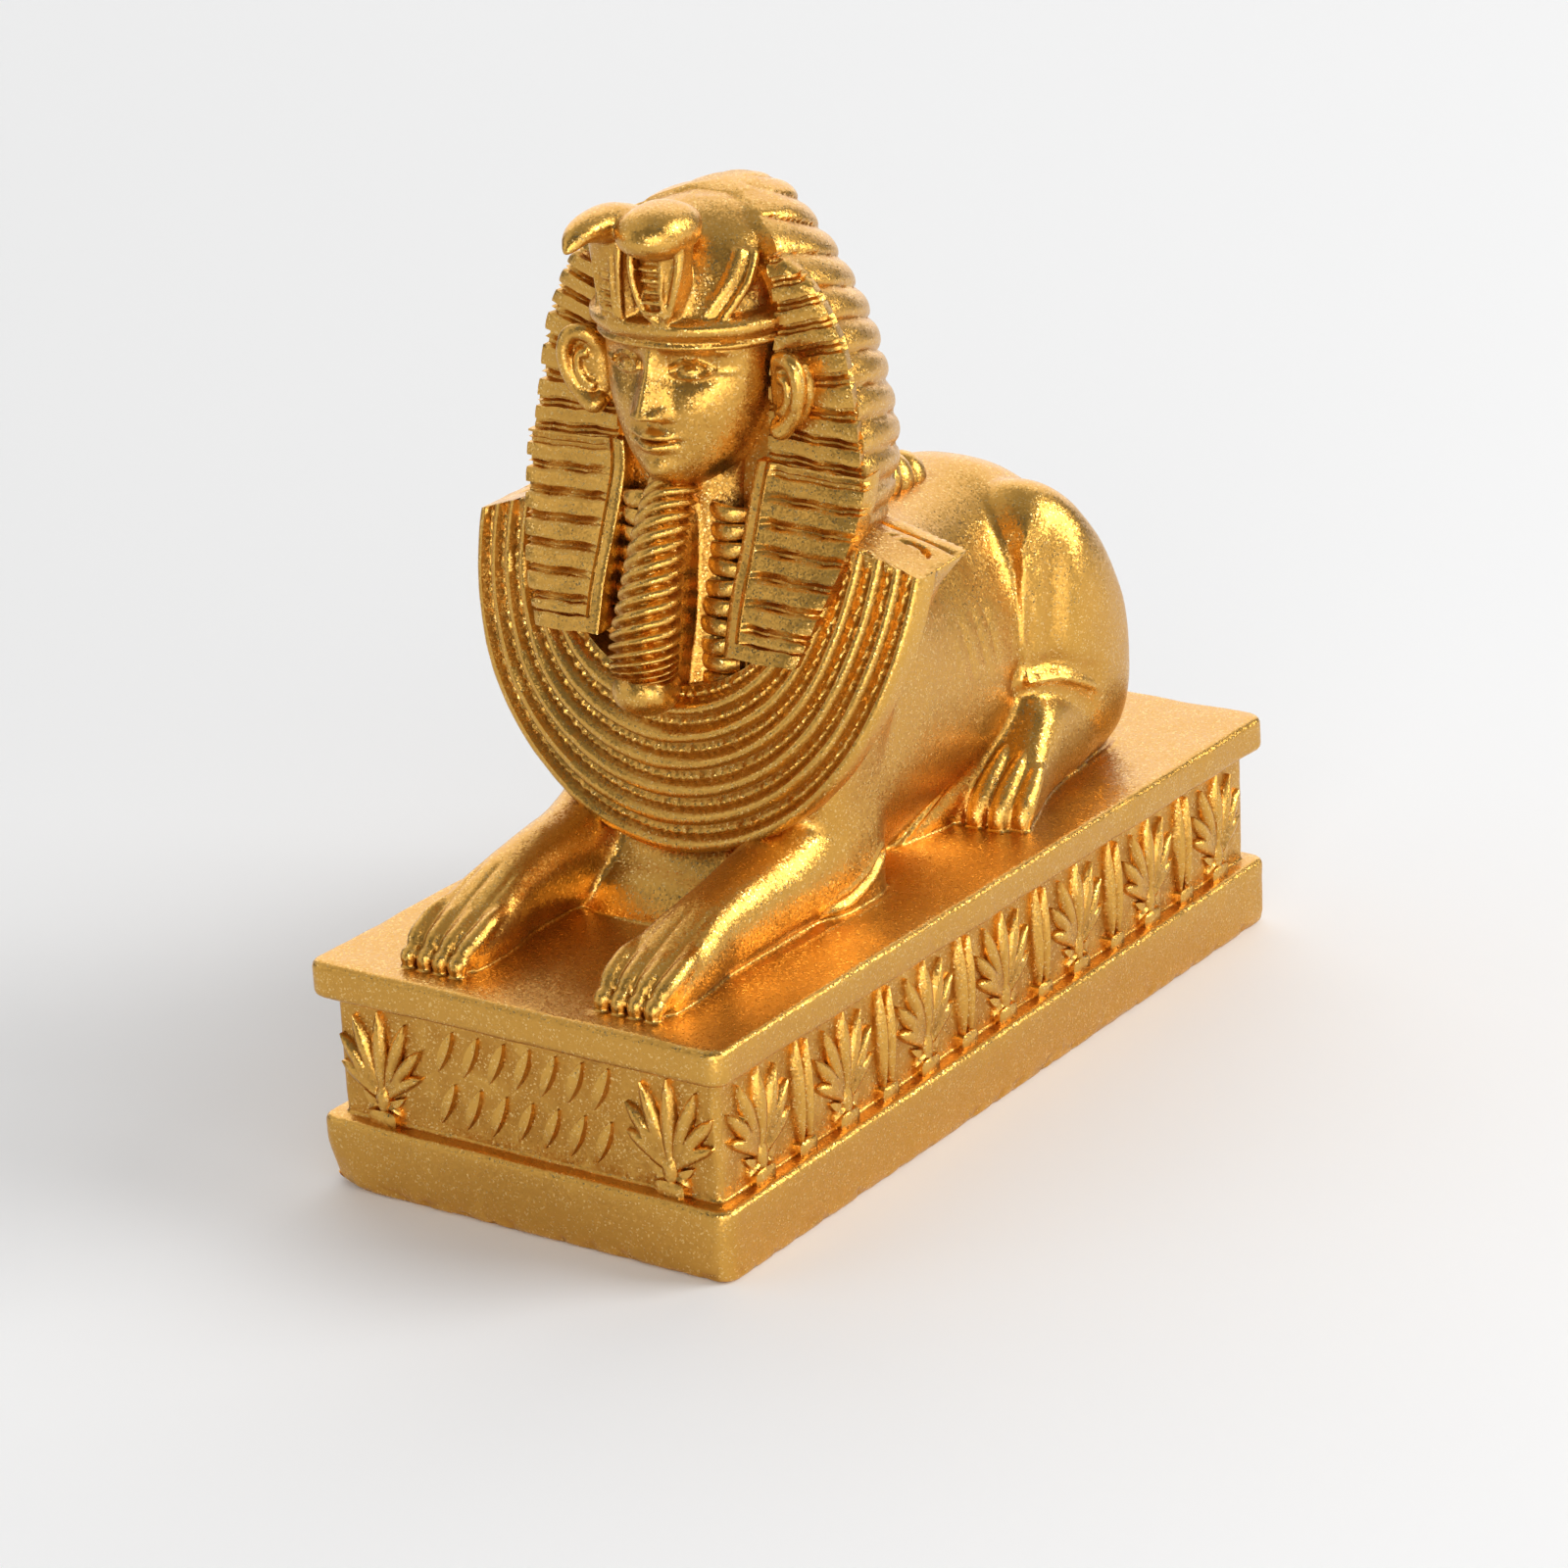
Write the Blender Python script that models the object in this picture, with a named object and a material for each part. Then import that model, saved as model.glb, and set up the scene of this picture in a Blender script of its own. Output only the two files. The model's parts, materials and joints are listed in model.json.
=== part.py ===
"""A small souvenir sphinx, cast in one piece with its plinth: a lying lion with a pharaoh's head.

The plinth is in metres. The figure is laid out, as Egyptian carvers did, on a grid of squares:
FIGURE_ROWS squares from the top of the plinth to the top of the headdress. Its points are
(x, y, z) in squares, x to the figure's left, y towards its tail, z up from the plinth's top.
"""

import math

import bmesh
import bpy
import numpy as np

# The plinth, in metres: a base block, a set-back frieze and a cap slab.
PLINTH_LENGTH = 0.070
PLINTH_WIDTH = 0.033
BASE_HEIGHT = 0.0050
FRIEZE_HEIGHT = 0.0085
CAP_HEIGHT = 0.0025
FRIEZE_INSET = 0.0013
CORNER_RADIUS = 0.0012
EDGE_ROUNDING = 0.0004
PLINTH_HEIGHT = BASE_HEIGHT + FRIEZE_HEIGHT + CAP_HEIGHT

# The frieze's ornament, in metres.
RELIEF = 0.0006
LEAF_PITCH = 0.0098
LEAF_SPAN = 0.0066
LEAF_HEIGHT = 0.0070
REED_WIDTH = 0.0019
FOOT_HEIGHT = 0.0007
END_LEAF_MARGIN = 0.0036
STROKE_WIDTH = 0.0013
STROKE_HEIGHT = 0.0030
STROKE_PITCH = 0.0021
STROKE_RELIEF = 0.0005
STROKE_ROWS = 2
BLADE_LET_IN = 0.2  # share of the relief by which a blade's edge lies inside the wall

# The figure.
FIGURE_HEIGHT = 0.048
FIGURE_ROWS = 48
SQUARE = FIGURE_HEIGHT / FIGURE_ROWS
SUNK = 0.5  # squares that each form reaches into the plinth
TOES = 4
TOE_RADIUS = 0.9

# The collar, in squares.
COLLAR_HALF_WIDTH = 17.65
COLLAR_DROP = 20.0
COLLAR_TOP = 24.3
COLLAR_BANDS = 5
COLLAR_BAND_AT_SIDE = 1.33
COLLAR_BAND_AT_FRONT = 1.92
COLLAR_RIDGE = 0.4
COLLAR_THICKNESS = 2.6

# The headcloth, in squares.
RIBS = 9
RIB_DEPTH = 0.45
LAPPET_STRIPES = 8
LAPPET_THICKNESS = 2.2
STRIPE_DEPTH = 0.3

GOLD = (0.52, 0.29, 0.075, 1.0)
GOLD_ROUGHNESS = 0.38


def clear_scene():
    for old in list(bpy.data.objects):
        bpy.data.objects.remove(old, do_unlink=True)


def gold_paint():
    material = bpy.data.materials.new("gold_paint")
    material.use_nodes = True
    shader = material.node_tree.nodes["Principled BSDF"]
    shader.inputs["Base Color"].default_value = GOLD
    shader.inputs["Metallic"].default_value = 1.0
    shader.inputs["Roughness"].default_value = GOLD_ROUGHNESS
    return material


def figure_points(points):
    """Squares of the figure's grid turned into metres above the plinth."""
    return np.asarray(points, float) * SQUARE + (0.0, 0.0, PLINTH_HEIGHT)


def closed_mesh(name, points, faces):
    """A mesh of flat triangles that face outwards."""
    mesh = bpy.data.meshes.new(name)
    mesh.from_pydata([tuple(p) for p in points], [], faces)
    shape = bmesh.new()
    shape.from_mesh(mesh)
    bmesh.ops.recalc_face_normals(shape, faces=shape.faces)
    bmesh.ops.triangulate(shape, faces=shape.faces, ngon_method="EAR_CLIP")
    shape.to_mesh(mesh)
    shape.free()
    return mesh


def make_form(forms, name, points, faces):
    """A closed helper solid that the casting is joined from."""
    form = bpy.data.objects.new(name, closed_mesh(name, points, faces))
    form.hide_render = True
    form.display_type = "WIRE"
    forms.objects.link(form)
    return form


def skin(rings):
    """Points and faces of a closed tube through rings, with a face over each end."""
    rings = np.asarray(rings, float)
    rows, count = rings.shape[:2]
    faces = [tuple(range(count))[::-1], tuple(range((rows - 1) * count, rows * count))]
    for c in range(count):
        d = (c + 1) % count
        for r in range(rows - 1):
            faces.append((r * count + c, r * count + d, (r + 1) * count + d, (r + 1) * count + c))
    return list(rings.reshape(-1, 3)), faces


def smooth_keys(keys, count):
    """Rows of numbers joined by a smooth curve (cubic Hermite) and read at even steps."""
    keys = np.asarray(keys, float)
    slope = np.gradient(keys, axis=0)
    at = np.linspace(0, len(keys) - 1, count)
    i = np.minimum(at.astype(int), len(keys) - 2)
    f = (at - i)[:, None]
    rise = f * f * (3 - 2 * f)
    start, end = f * (1 - f) ** 2, f * f * (f - 1)
    return keys[i] * (1 - rise) + keys[i + 1] * rise + slope[i] * start + slope[i + 1] * end


def oval(count, power):
    """Unit superellipse: power 2 is an ellipse, more is squarer."""
    turn = np.arange(count) * (2 * math.pi / count) + math.pi / count
    c, s = np.cos(turn), np.sin(turn)
    return np.sign(c) * abs(c) ** (2 / power), np.sign(s) * abs(s) ** (2 / power)


def along_y(keys, stations, count):
    """Rings across the length. A key is y, x, low z, high z, half width, squareness."""
    rings = []
    for y, x, low, high, half, power in smooth_keys(keys, stations):
        u, v = oval(count, power)
        z = (low + high) / 2 + v * (high - low) / 2
        rings.append(np.stack([x + half * u, np.full(count, y), z], axis=1))
    return rings


def upright(keys, stations, count):
    """Rings one above another. A key is z, x, y, half width in x, half depth in y, squareness."""
    rings = []
    for z, x, y, half_x, half_y, power in smooth_keys(keys, stations):
        u, v = oval(count, power)
        rings.append(np.stack([x + half_x * u, y + half_y * v, np.full(count, z)], axis=1))
    return rings


def along_path(keys, stations, count, twist=0.0, grooves=0, depth=0.0):
    """Rings square to a path in 3-D. A key is x, y, z, half width, half thickness.

    With grooves, each ring waves in and out that many times, turned a little more at each step.
    """
    rows = smooth_keys(keys, stations)
    run = np.gradient(rows[:, :3], axis=0)
    run /= np.linalg.norm(run, axis=1)[:, None]
    rings = []
    turn = np.arange(count) * (2 * math.pi / count)
    for i, row in enumerate(rows):
        side = np.cross(run[i], (0.0, 0.0, 1.0) if abs(run[i][2]) < 0.9 else (0.0, -1.0, 0.0))
        side /= np.linalg.norm(side)
        over = np.cross(side, run[i])
        wave = 1 - depth * (0.5 + 0.5 * np.cos(grooves * turn + twist * i)) if grooves else 1.0
        across = (row[3] * np.cos(turn) * wave)[:, None] * side
        rings.append(row[:3] + across + (row[4] * np.sin(turn) * wave)[:, None] * over)
    return rings


def mirrored(rings, side):
    return [ring * (side, 1, 1) for ring in rings]


def add_rings(forms, name, rings):
    points, faces = skin([figure_points(ring) for ring in rings])
    return make_form(forms, name, points, faces)


# Plinth


def rounded_rectangle(half_x, half_y, radius, steps=3):
    """Corner points, anticlockwise, of a rectangle with rounded corners."""
    outline = []
    for corner, (sx, sy) in enumerate(((1, 1), (-1, 1), (-1, -1), (1, -1))):
        for step in range(steps + 1):
            turn = (corner + step / steps) * math.pi / 2
            x = sx * (half_x - radius) + radius * math.cos(turn)
            outline.append((x, sy * (half_y - radius) + radius * math.sin(turn)))
    return outline


def slab_rings(low, high, inset, rounding):
    """Rings of a block whose top and bottom edges are rounded off by a small bevel."""
    half_x, half_y = PLINTH_WIDTH / 2 - inset, PLINTH_LENGTH / 2 - inset
    levels = ((low, rounding), (low + rounding, 0.0), (high - rounding, 0.0), (high, rounding))
    rings = []
    for z, cut in levels:
        outline = rounded_rectangle(half_x - cut, half_y - cut, max(CORNER_RADIUS - inset / 2, cut))
        rings.append([(x, y, z) for x, y in outline])
    return rings


def build_plinth(name, material):
    """Base block, frieze wall and cap as one turned-over outline carried round the plinth."""
    frieze_low, frieze_high = BASE_HEIGHT, BASE_HEIGHT + FRIEZE_HEIGHT
    wall = slab_rings(frieze_low, frieze_high, FRIEZE_INSET, 0.0)
    rings = slab_rings(0.0, BASE_HEIGHT, 0.0, EDGE_ROUNDING) + [wall[0], wall[-1]]
    rings += slab_rings(frieze_high, PLINTH_HEIGHT, 0.0, EDGE_ROUNDING)
    rings[3] = [(x, y, BASE_HEIGHT) for x, y, _ in rings[3]]
    plinth = bpy.data.objects.new(name, closed_mesh(name, *skin(rings)))
    plinth.data.materials.append(material)
    bpy.context.scene.collection.objects.link(plinth)
    return plinth


def blade(root, tip, width, relief, fullest=0.5):
    """A leaf or chisel stroke: a kite with a raised middle, its edge let a little into the wall.

    Places are (along the wall, up) in metres.
    """
    root, tip = np.array(root), np.array(tip)
    run = tip - root
    side = np.array((-run[1], run[0])) / np.linalg.norm(run) * width / 2
    middle = root + run * fullest
    flat = [root, middle - side, tip, middle + side, middle, middle]
    edge = -BLADE_LET_IN * relief
    out = (edge, edge, edge, edge, relief, -relief)
    points = [(x, -o, z) for (x, z), o in zip(flat, out)]
    faces = [(0, 1, 4), (1, 2, 4), (2, 3, 4), (3, 0, 4), (1, 0, 5), (2, 1, 5), (3, 2, 5), (0, 3, 5)]
    return points, faces


def palmette(centre):
    """A fan of pointed leaves that rises from a calyx on a small foot."""
    foot = BASE_HEIGHT + FOOT_HEIGHT
    calyx = (centre, foot + LEAF_HEIGHT * 0.22)
    stem = (centre, foot + LEAF_HEIGHT * 0.1)
    blades = [blade(stem, (centre, foot + LEAF_HEIGHT), LEAF_SPAN * 0.3, RELIEF)]
    for lean, reach in ((27, 0.82), (58, 0.62)):
        for side in (-1, 1):
            turn = math.radians(lean) * side
            length = LEAF_HEIGHT * reach
            root = (centre + side * lean * LEAF_SPAN * 0.0005, calyx[1] - lean * LEAF_HEIGHT * 0.001)
            tip = (centre + length * math.sin(turn), calyx[1] + length * math.cos(turn) * 0.85)
            blades.append(blade(root, tip, LEAF_SPAN * 0.24, RELIEF * 0.95, 0.6))
    half = LEAF_SPAN * 0.24
    blades.append(blade((centre - half, foot), (centre + half, foot), 2 * FOOT_HEIGHT, RELIEF * 1.1))
    return blades


def reed(centre):
    """An upright bud on a stem, on a small foot."""
    foot = BASE_HEIGHT + FOOT_HEIGHT
    top = BASE_HEIGHT + FRIEZE_HEIGHT - FOOT_HEIGHT
    half = REED_WIDTH * 0.8
    return [
        blade((centre, foot), (centre, top), REED_WIDTH, RELIEF * 1.1, 0.62),
        blade((centre - half, foot), (centre + half, foot), 2 * FOOT_HEIGHT, RELIEF * 1.1),
    ]


def strokes(half_field):
    """Rows of slanted chisel strokes that stand where an inscription would."""
    count = int(2 * half_field / STROKE_PITCH)
    blades = []
    for row in range(STROKE_ROWS):
        middle = BASE_HEIGHT + FRIEZE_HEIGHT * (row + 0.65) / (STROKE_ROWS + 0.3)
        for i in range(count):
            x = (i - (count - 1) / 2) * STROKE_PITCH
            low = (x - STROKE_WIDTH / 2, middle - STROKE_HEIGHT / 2)
            high = (x + STROKE_WIDTH / 2, middle + STROKE_HEIGHT / 2)
            blades.append(blade(low, high, STROKE_WIDTH, STROKE_RELIEF))
    return blades


def frieze_run(length):
    """Palmettes at an even pitch, with a reed between each two."""
    count = int((length - LEAF_SPAN) / LEAF_PITCH) + 1
    middles = [(i - (count - 1) / 2) * LEAF_PITCH for i in range(count)]
    blades = [b for middle in middles for b in palmette(middle)]
    return blades + [b for middle in middles[1:] for b in reed(middle - LEAF_PITCH / 2)]


def build_frieze(forms):
    """Each wall's blades, modelled on a wall that faces -y, then turned to their own wall."""
    half_x, half_y = PLINTH_WIDTH / 2 - FRIEZE_INSET, PLINTH_LENGTH / 2 - FRIEZE_INSET
    end = half_x - END_LEAF_MARGIN
    front = palmette(-end) + palmette(end) + strokes(end - LEAF_SPAN / 2)
    side = frieze_run(2 * half_y)
    back = frieze_run(2 * half_x)
    walls = (("front", front, half_y), ("left", side, half_x), ("back", back, half_y), ("right", side, half_x))
    for quarter, (wall, blades, out) in enumerate(walls):
        turn = quarter * math.pi / 2
        c, s = math.cos(turn), math.sin(turn)
        for i, (points, faces) in enumerate(blades):
            turned = [(x * c - (y - out) * s, x * s + (y - out) * c, z) for x, y, z in points]
            make_form(forms, f"frieze_{wall}_{i}", turned, faces)


# Lion's body


def build_body(forms):
    body = [
        (-17.0, 0, -2.0, 2.4, 5.0, 2.0),
        (-15.2, 0, -1.6, 6.5, 7.6, 2.3),
        (-12.5, 0, -1.2, 15.0, 10.0, 2.6),
        (-8.5, 0, -1.8, 23.0, 11.2, 2.6),
        (-3.0, 0, -2.4, 26.0, 11.2, 2.2),
        (3.0, 0, -1.8, 24.0, 10.6, 2.05),
        (9.0, 0, -1.6, 22.4, 10.2, 2.05),
        (14.0, 0, -1.6, 22.2, 10.0, 2.1),
        (18.5, 0, -1.5, 22.2, 10.2, 2.2),
        (22.0, 0, -1.2, 20.6, 10.2, 2.2),
        (25.0, 0, -1.0, 16.2, 8.8, 2.2),
        (27.2, 0, -1.0, 9.0, 6.0, 2.2),
    ]
    add_rings(forms, "body", along_y(body, 13, 14))
    for side in (-1, 1):
        haunch = [
            (12.2, 8.2, 6.5, 12.0, 1.6, 2.0),
            (13.6, 7.2, 3.0, 18.5, 4.2, 2.2),
            (16.6, 6.8, 0.0, 21.4, 5.5, 2.3),
            (20.2, 6.7, -0.8, 20.2, 5.8, 2.4),
            (23.8, 6.4, -0.8, 16.0, 5.4, 2.4),
            (26.2, 5.8, -0.6, 10.0, 3.9, 2.2),
            (27.1, 5.4, 0.6, 6.0, 1.7, 2.0),
        ]
        add_rings(forms, f"haunch_{side}", mirrored(along_y(haunch, 8, 11), side))
        shoulder = [
            (-SUNK, 7.6, -9.6, 3.4, 4.1, 3.4),
            (4.0, 7.6, -9.6, 3.5, 4.3, 3.2),
            (9.0, 7.6, -9.8, 3.8, 4.7, 2.8),
            (14.0, 8.0, -9.2, 4.4, 4.9, 2.6),
            (19.0, 8.8, -8.6, 5.6, 5.0, 2.5),
            (23.0, 9.6, -8.2, 6.6, 4.4, 2.5),
            (25.2, 9.6, -8.0, 5.0, 3.4, 2.4),
        ]
        add_rings(forms, f"shoulder_{side}", mirrored(upright(shoulder, 7, 10), side))


def build_leg(forms, name, keys, side, spread):
    """A leg and, from its tip over its first four keys, toes that part by `spread` towards their tips."""
    add_rings(forms, f"{name}_{side}", mirrored(along_y(keys, len(keys), 12), side))
    thickness = (0.55, 1.0, 1.0, 0.7)
    for toe in range(TOES):
        share = (2 * toe - TOES + 1) / TOES
        rings = []
        for i, thick in enumerate(thickness):
            y, x, _, high, half, _ = keys[i]
            turn = (np.arange(6) + 0.5) * (math.pi / 3)
            middle = x + share * half * (0.92 + spread * (1 - i / 3))
            across = middle + half / TOES * 1.3 * thick * np.cos(turn)
            over = high + TOE_RADIUS * (thick * np.sin(turn) - (1.0 if i == 3 else 0.6))
            rings.append(np.stack([across, np.full(6, y - 0.3), over], axis=1))
        add_rings(forms, f"{name}_toe_{side}_{toe}", mirrored(rings, side))


def build_legs(forms):
    for side in (-1, 1):
        foreleg = [
            (-31.6, 7.8, -SUNK, 1.2, 2.4, 2.6),
            (-31.0, 7.8, -SUNK, 2.0, 2.8, 2.8),
            (-29.4, 7.8, -SUNK, 2.9, 2.9, 2.8),
            (-26.4, 7.8, -SUNK, 4.2, 2.8, 2.6),
            (-24.0, 7.9, -SUNK, 5.0, 2.6, 2.5),
            (-20.0, 7.9, -SUNK, 6.0, 2.7, 2.4),
            (-15.5, 7.7, -SUNK, 7.4, 3.2, 2.4),
            (-11.0, 7.6, -SUNK, 9.0, 3.6, 2.5),
        ]
        build_leg(forms, "foreleg", foreleg, side, 0.06)
        hind = [
            (6.5, 10.4, -SUNK, 1.2, 2.6, 2.6),
            (7.3, 10.3, -SUNK, 2.4, 3.1, 2.8),
            (9.4, 9.6, -SUNK, 4.4, 3.0, 2.6),
            (11.6, 9.0, -SUNK, 6.4, 2.9, 2.5),
            (15.0, 7.9, -SUNK, 7.4, 3.4, 2.5),
            (20.0, 6.8, -SUNK, 6.2, 3.8, 2.5),
            (25.4, 6.2, -SUNK, 4.4, 3.2, 2.4),
        ]
        build_leg(forms, "hind_leg", hind, side, 0.1)


def build_tail(forms):
    """The tail leaves the rump's foot and lies round the right haunch, out of the front view."""
    keys = [
        (1.0, 26.2, 3.5, 1.0, 1.0),
        (-4.0, 27.6, 1.6, 1.0, 1.0),
        (-9.6, 25.4, 1.4, 1.0, 1.0),
        (-11.6, 20.4, 2.4, 1.0, 1.0),
        (-12.4, 15.8, 4.6, 1.1, 1.1),
        (-11.8, 13.0, 7.6, 1.3, 1.3),
        (-10.6, 12.4, 9.6, 0.5, 0.5),
    ]
    add_rings(forms, "tail", along_path(keys, 11, 5))


# Collar


def collar_front(x, z):
    """How far forward the collar's face is: bulged across and leaning back near its top."""
    return -16.3 + 0.008 * x * x + 0.0151 * np.maximum(0.0, z - 11.0) ** 2


def build_collar(forms):
    """The collar's section, ridged in front and plain behind, carried round a half ellipse."""
    share, lift = [], []
    for band in range(COLLAR_BANDS):
        share += [band, band + 0.12, band + 0.46, band + 0.6, band + 0.8]
        lift += [0.0, COLLAR_RIDGE, COLLAR_RIDGE, 0.0, COLLAR_RIDGE * 0.4]
    share = np.array(share + [COLLAR_BANDS, COLLAR_BANDS, COLLAR_BANDS * 0.45, 0.0])
    lift = np.array(lift + [0.0, -COLLAR_THICKNESS, -COLLAR_THICKNESS * 1.2, -COLLAR_THICKNESS * 0.6])
    rings = []
    for turn in np.radians(np.linspace(-90, 90, 17)):
        x = (COLLAR_HALF_WIDTH - COLLAR_BAND_AT_SIDE * share) * math.sin(turn)
        z = COLLAR_TOP - (COLLAR_DROP - COLLAR_BAND_AT_FRONT * share) * math.cos(turn)
        z = z + (COLLAR_HALF_WIDTH - abs(x)) * 0.35 * abs(math.sin(turn)) ** 12
        rings.append(np.stack([x, collar_front(x, z) - lift, z], axis=1))
    add_rings(forms, "collar", rings)
    for side in (-1, 1):
        corners = [
            (17.65, -11.2, 24.3), (11.0, -12.6, 26.6), (8.6, -4.4, 26.2), (17.5, -5.7, 24.6),
            (17.3, -11.8, 22.2), (11.0, -12.8, 22.0), (8.6, -5.0, 22.0), (16.6, -9.8, 22.2),
        ]
        faces = [(0, 1, 2, 3), (7, 6, 5, 4), (0, 4, 5, 1), (1, 5, 6, 2), (2, 6, 7, 3), (3, 7, 4, 0)]
        points = figure_points(np.array(corners) * (side, 1, 1))
        make_form(forms, f"shoulder_strap_{side}", points, faces)


# Head


def build_headcloth(forms):
    """Ribbed shell behind the face: its ring flares into a wing at each side of the head."""
    shape = smooth_keys(
        [
            (22.0, 10.4, -12.0, 2.8),
            (28.5, 13.0, -11.6, 1.9),
            (34.0, 12.4, -10.8, 1.4),
            (38.0, 11.1, -10.6, 0.8),
            (41.5, 9.2, -10.8, -0.3),
            (44.0, 7.1, -10.9, -1.2),
            (46.0, 5.0, -9.9, -2.4),
            (47.2, 2.0, -8.0, -4.4),
        ],
        2 * RIBS + 2,
    )
    turn = np.radians([0, 12, 30, 50, 70, 90, 110, 130, 150, 168, 180])
    rings = []
    for i, (z, wing, front, back) in enumerate(shape):
        lift = RIB_DEPTH * (0.5 if i % 2 else -0.5)
        x = (wing + lift) * np.cos(turn)
        y = front + 0.8 + (back - front + lift) * np.sin(turn)
        y[[0, -1]] = front
        rise = np.full(len(turn), z) + (y - front) * 0.1
        behind = min(5.6, 0.7 * wing)
        inner = [(-behind, front + lift * 0.6, z), (behind, front + lift * 0.6, z)]
        rings.append(np.concatenate([np.stack([x, y, rise], axis=1), inner]))
    add_rings(forms, "headcloth", rings)
    for side in (-1, 1):
        build_lappet(forms, side)
    queue = [
        (0, -0.5, 28.4, 4.2, 3.2),
        (0, 4.0, 25.2, 3.2, 2.8),
        (0, 9.0, 22.8, 2.4, 2.3),
        (0, 14.0, 21.6, 1.8, 1.9),
    ]
    rings = along_path(queue, 12, 8)
    for i, ring in enumerate(rings):
        rings[i] = ring.mean(axis=0) + (ring - ring.mean(axis=0)) * (1.1 if i % 2 else 0.9)
    add_rings(forms, "queue", rings)


def build_lappet(forms, side):
    """A striped flap that hangs in front of the shoulder and widens into the wing."""
    edges = smooth_keys(
        [
            (18.3, 5.0, 10.4, -16.2),
            (21.5, 5.0, 11.6, -15.2),
            (25.0, 5.0, 12.7, -13.6),
            (28.5, 5.0, 13.4, -12.2),
            (31.0, 5.4, 13.4, -11.6),
        ],
        2 * LAPPET_STRIPES + 1,
    )
    rings = []
    for i, (z, inner, outer, front) in enumerate(edges):
        y = front + (STRIPE_DEPTH if i % 2 else 0.0)
        back = front + LAPPET_THICKNESS
        rings.append(
            [
                (inner, front, z + 0.3),
                (inner + 0.9, front, z + 0.3),
                (inner + 1.1, y, z + 0.3),
                (outer - 0.2, y + 0.2, z),
                (outer, back, z),
                (inner, back, z),
            ]
        )
    add_rings(forms, f"lappet_{side}", mirrored(np.array(rings), side))


def build_crown(forms):
    """The smooth top of the headcloth and, as a step near its foot, the brow band."""
    crown = [
        (38.0, 0, -8.4, 6.6, 6.6, 2.2),
        (39.0, 0, -8.4, 7.0, 7.4, 2.2),
        (39.15, 0, -8.4, 7.35, 7.8, 2.2),
        (40.25, 0, -8.4, 7.35, 7.8, 2.2),
        (40.4, 0, -8.3, 7.1, 7.3, 2.2),
        (42.8, 0, -8.5, 6.7, 6.1, 2.2),
        (45.0, 0, -8.6, 5.4, 4.7, 2.1),
        (46.4, 0, -8.4, 3.5, 3.0, 2.0),
        (47.0, 0, -8.2, 1.2, 1.2, 2.0),
    ]
    add_rings(forms, "crown", upright(crown, len(crown), 16))


# The face is a plain one of general proportions. Each feature is a soft mound or hollow:
# half of x where it lies, z, spread in x, spread in z, height.
FACE_FEATURES = (
    (0.0, 34.3, 0.75, 0.8, 1.5),
    (0.0, 36.0, 0.65, 1.4, 0.7),
    (1.0, 33.9, 0.5, 0.45, 0.45),
    (2.75, 36.9, 1.35, 0.8, -0.75),
    (2.75, 36.9, 0.9, 0.45, 0.5),
    (2.8, 38.2, 1.9, 0.45, 0.4),
    (3.4, 34.4, 1.5, 1.3, 0.3),
    (0.0, 32.4, 1.5, 0.3, 0.5),
    (0.0, 31.5, 1.2, 0.35, 0.5),
    (0.0, 29.9, 1.3, 0.8, 0.5),
)


def face_relief(x, z):
    lift = np.zeros_like(x)
    for side in (-1, 1):
        for fx, fz, wide, tall, height in FACE_FEATURES:
            share = 1.0 if fx else 0.5
            lift += share * height * np.exp(-(((x - side * fx) / wide) ** 2) - ((z - fz) / tall) ** 2)
    return lift


def build_head(forms):
    levels = [28.2, 29.0, 29.9, 30.8, 31.5, 31.95, 32.4, 33.1, 33.8, 34.6, 35.8, 36.9, 38.2, 39.6]
    rows = np.array(
        [
            (28.2, 1.4, 3.2),
            (29.0, 2.7, 4.4),
            (30.6, 4.0, 5.0),
            (32.4, 5.0, 5.2),
            (34.6, 5.8, 5.1),
            (36.9, 6.2, 5.0),
            (39.6, 6.4, 5.2),
        ]
    )
    half_turn = [0, 6, 13, 23, 34, 50, 72, 110]
    turn = np.radians([-t for t in half_turn[:0:-1]] + half_turn + [180])
    rings = []
    for z in levels:
        half, depth = (np.interp(z, rows[:, 0], rows[:, column]) for column in (1, 2))
        x = half * np.sin(turn)
        y = -10.4 - depth * np.cos(turn)
        y -= face_relief(x, np.full(len(x), z)) * (np.cos(turn) > 0)
        rings.append(np.stack([x, y, np.full(len(x), z)], axis=1))
    add_rings(forms, "head", rings)
    neck = [(16.0, 0, -10.0, 4.6, 5.6, 2.2), (24.0, 0, -9.0, 4.4, 4.6, 2.2), (31.0, 0, -9.0, 4.2, 4.0, 2.2)]
    add_rings(forms, "neck", upright(neck, 4, 12))
    for side in (-1, 1):
        ear = [
            (7.0, -10.6, 37.6, 0.5, 0.5),
            (8.2, -11.3, 37.4, 0.6, 0.6),
            (9.0, -11.7, 36.2, 0.6, 0.6),
            (8.9, -11.6, 34.6, 0.6, 0.6),
            (8.0, -11.4, 33.2, 0.6, 0.6),
            (7.0, -11.0, 32.8, 0.5, 0.5),
        ]
        add_rings(forms, f"ear_{side}", mirrored(along_path(ear, 7, 5), side))
        hollow = [
            (32.8, 7.4, -10.6, 0.6, 0.5, 2.0),
            (35.0, 7.7, -10.8, 1.5, 0.9, 2.0),
            (37.4, 7.4, -10.6, 0.6, 0.5, 2.0),
        ]
        add_rings(forms, f"ear_hollow_{side}", mirrored(upright(hollow, 4, 6), side))


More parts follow.
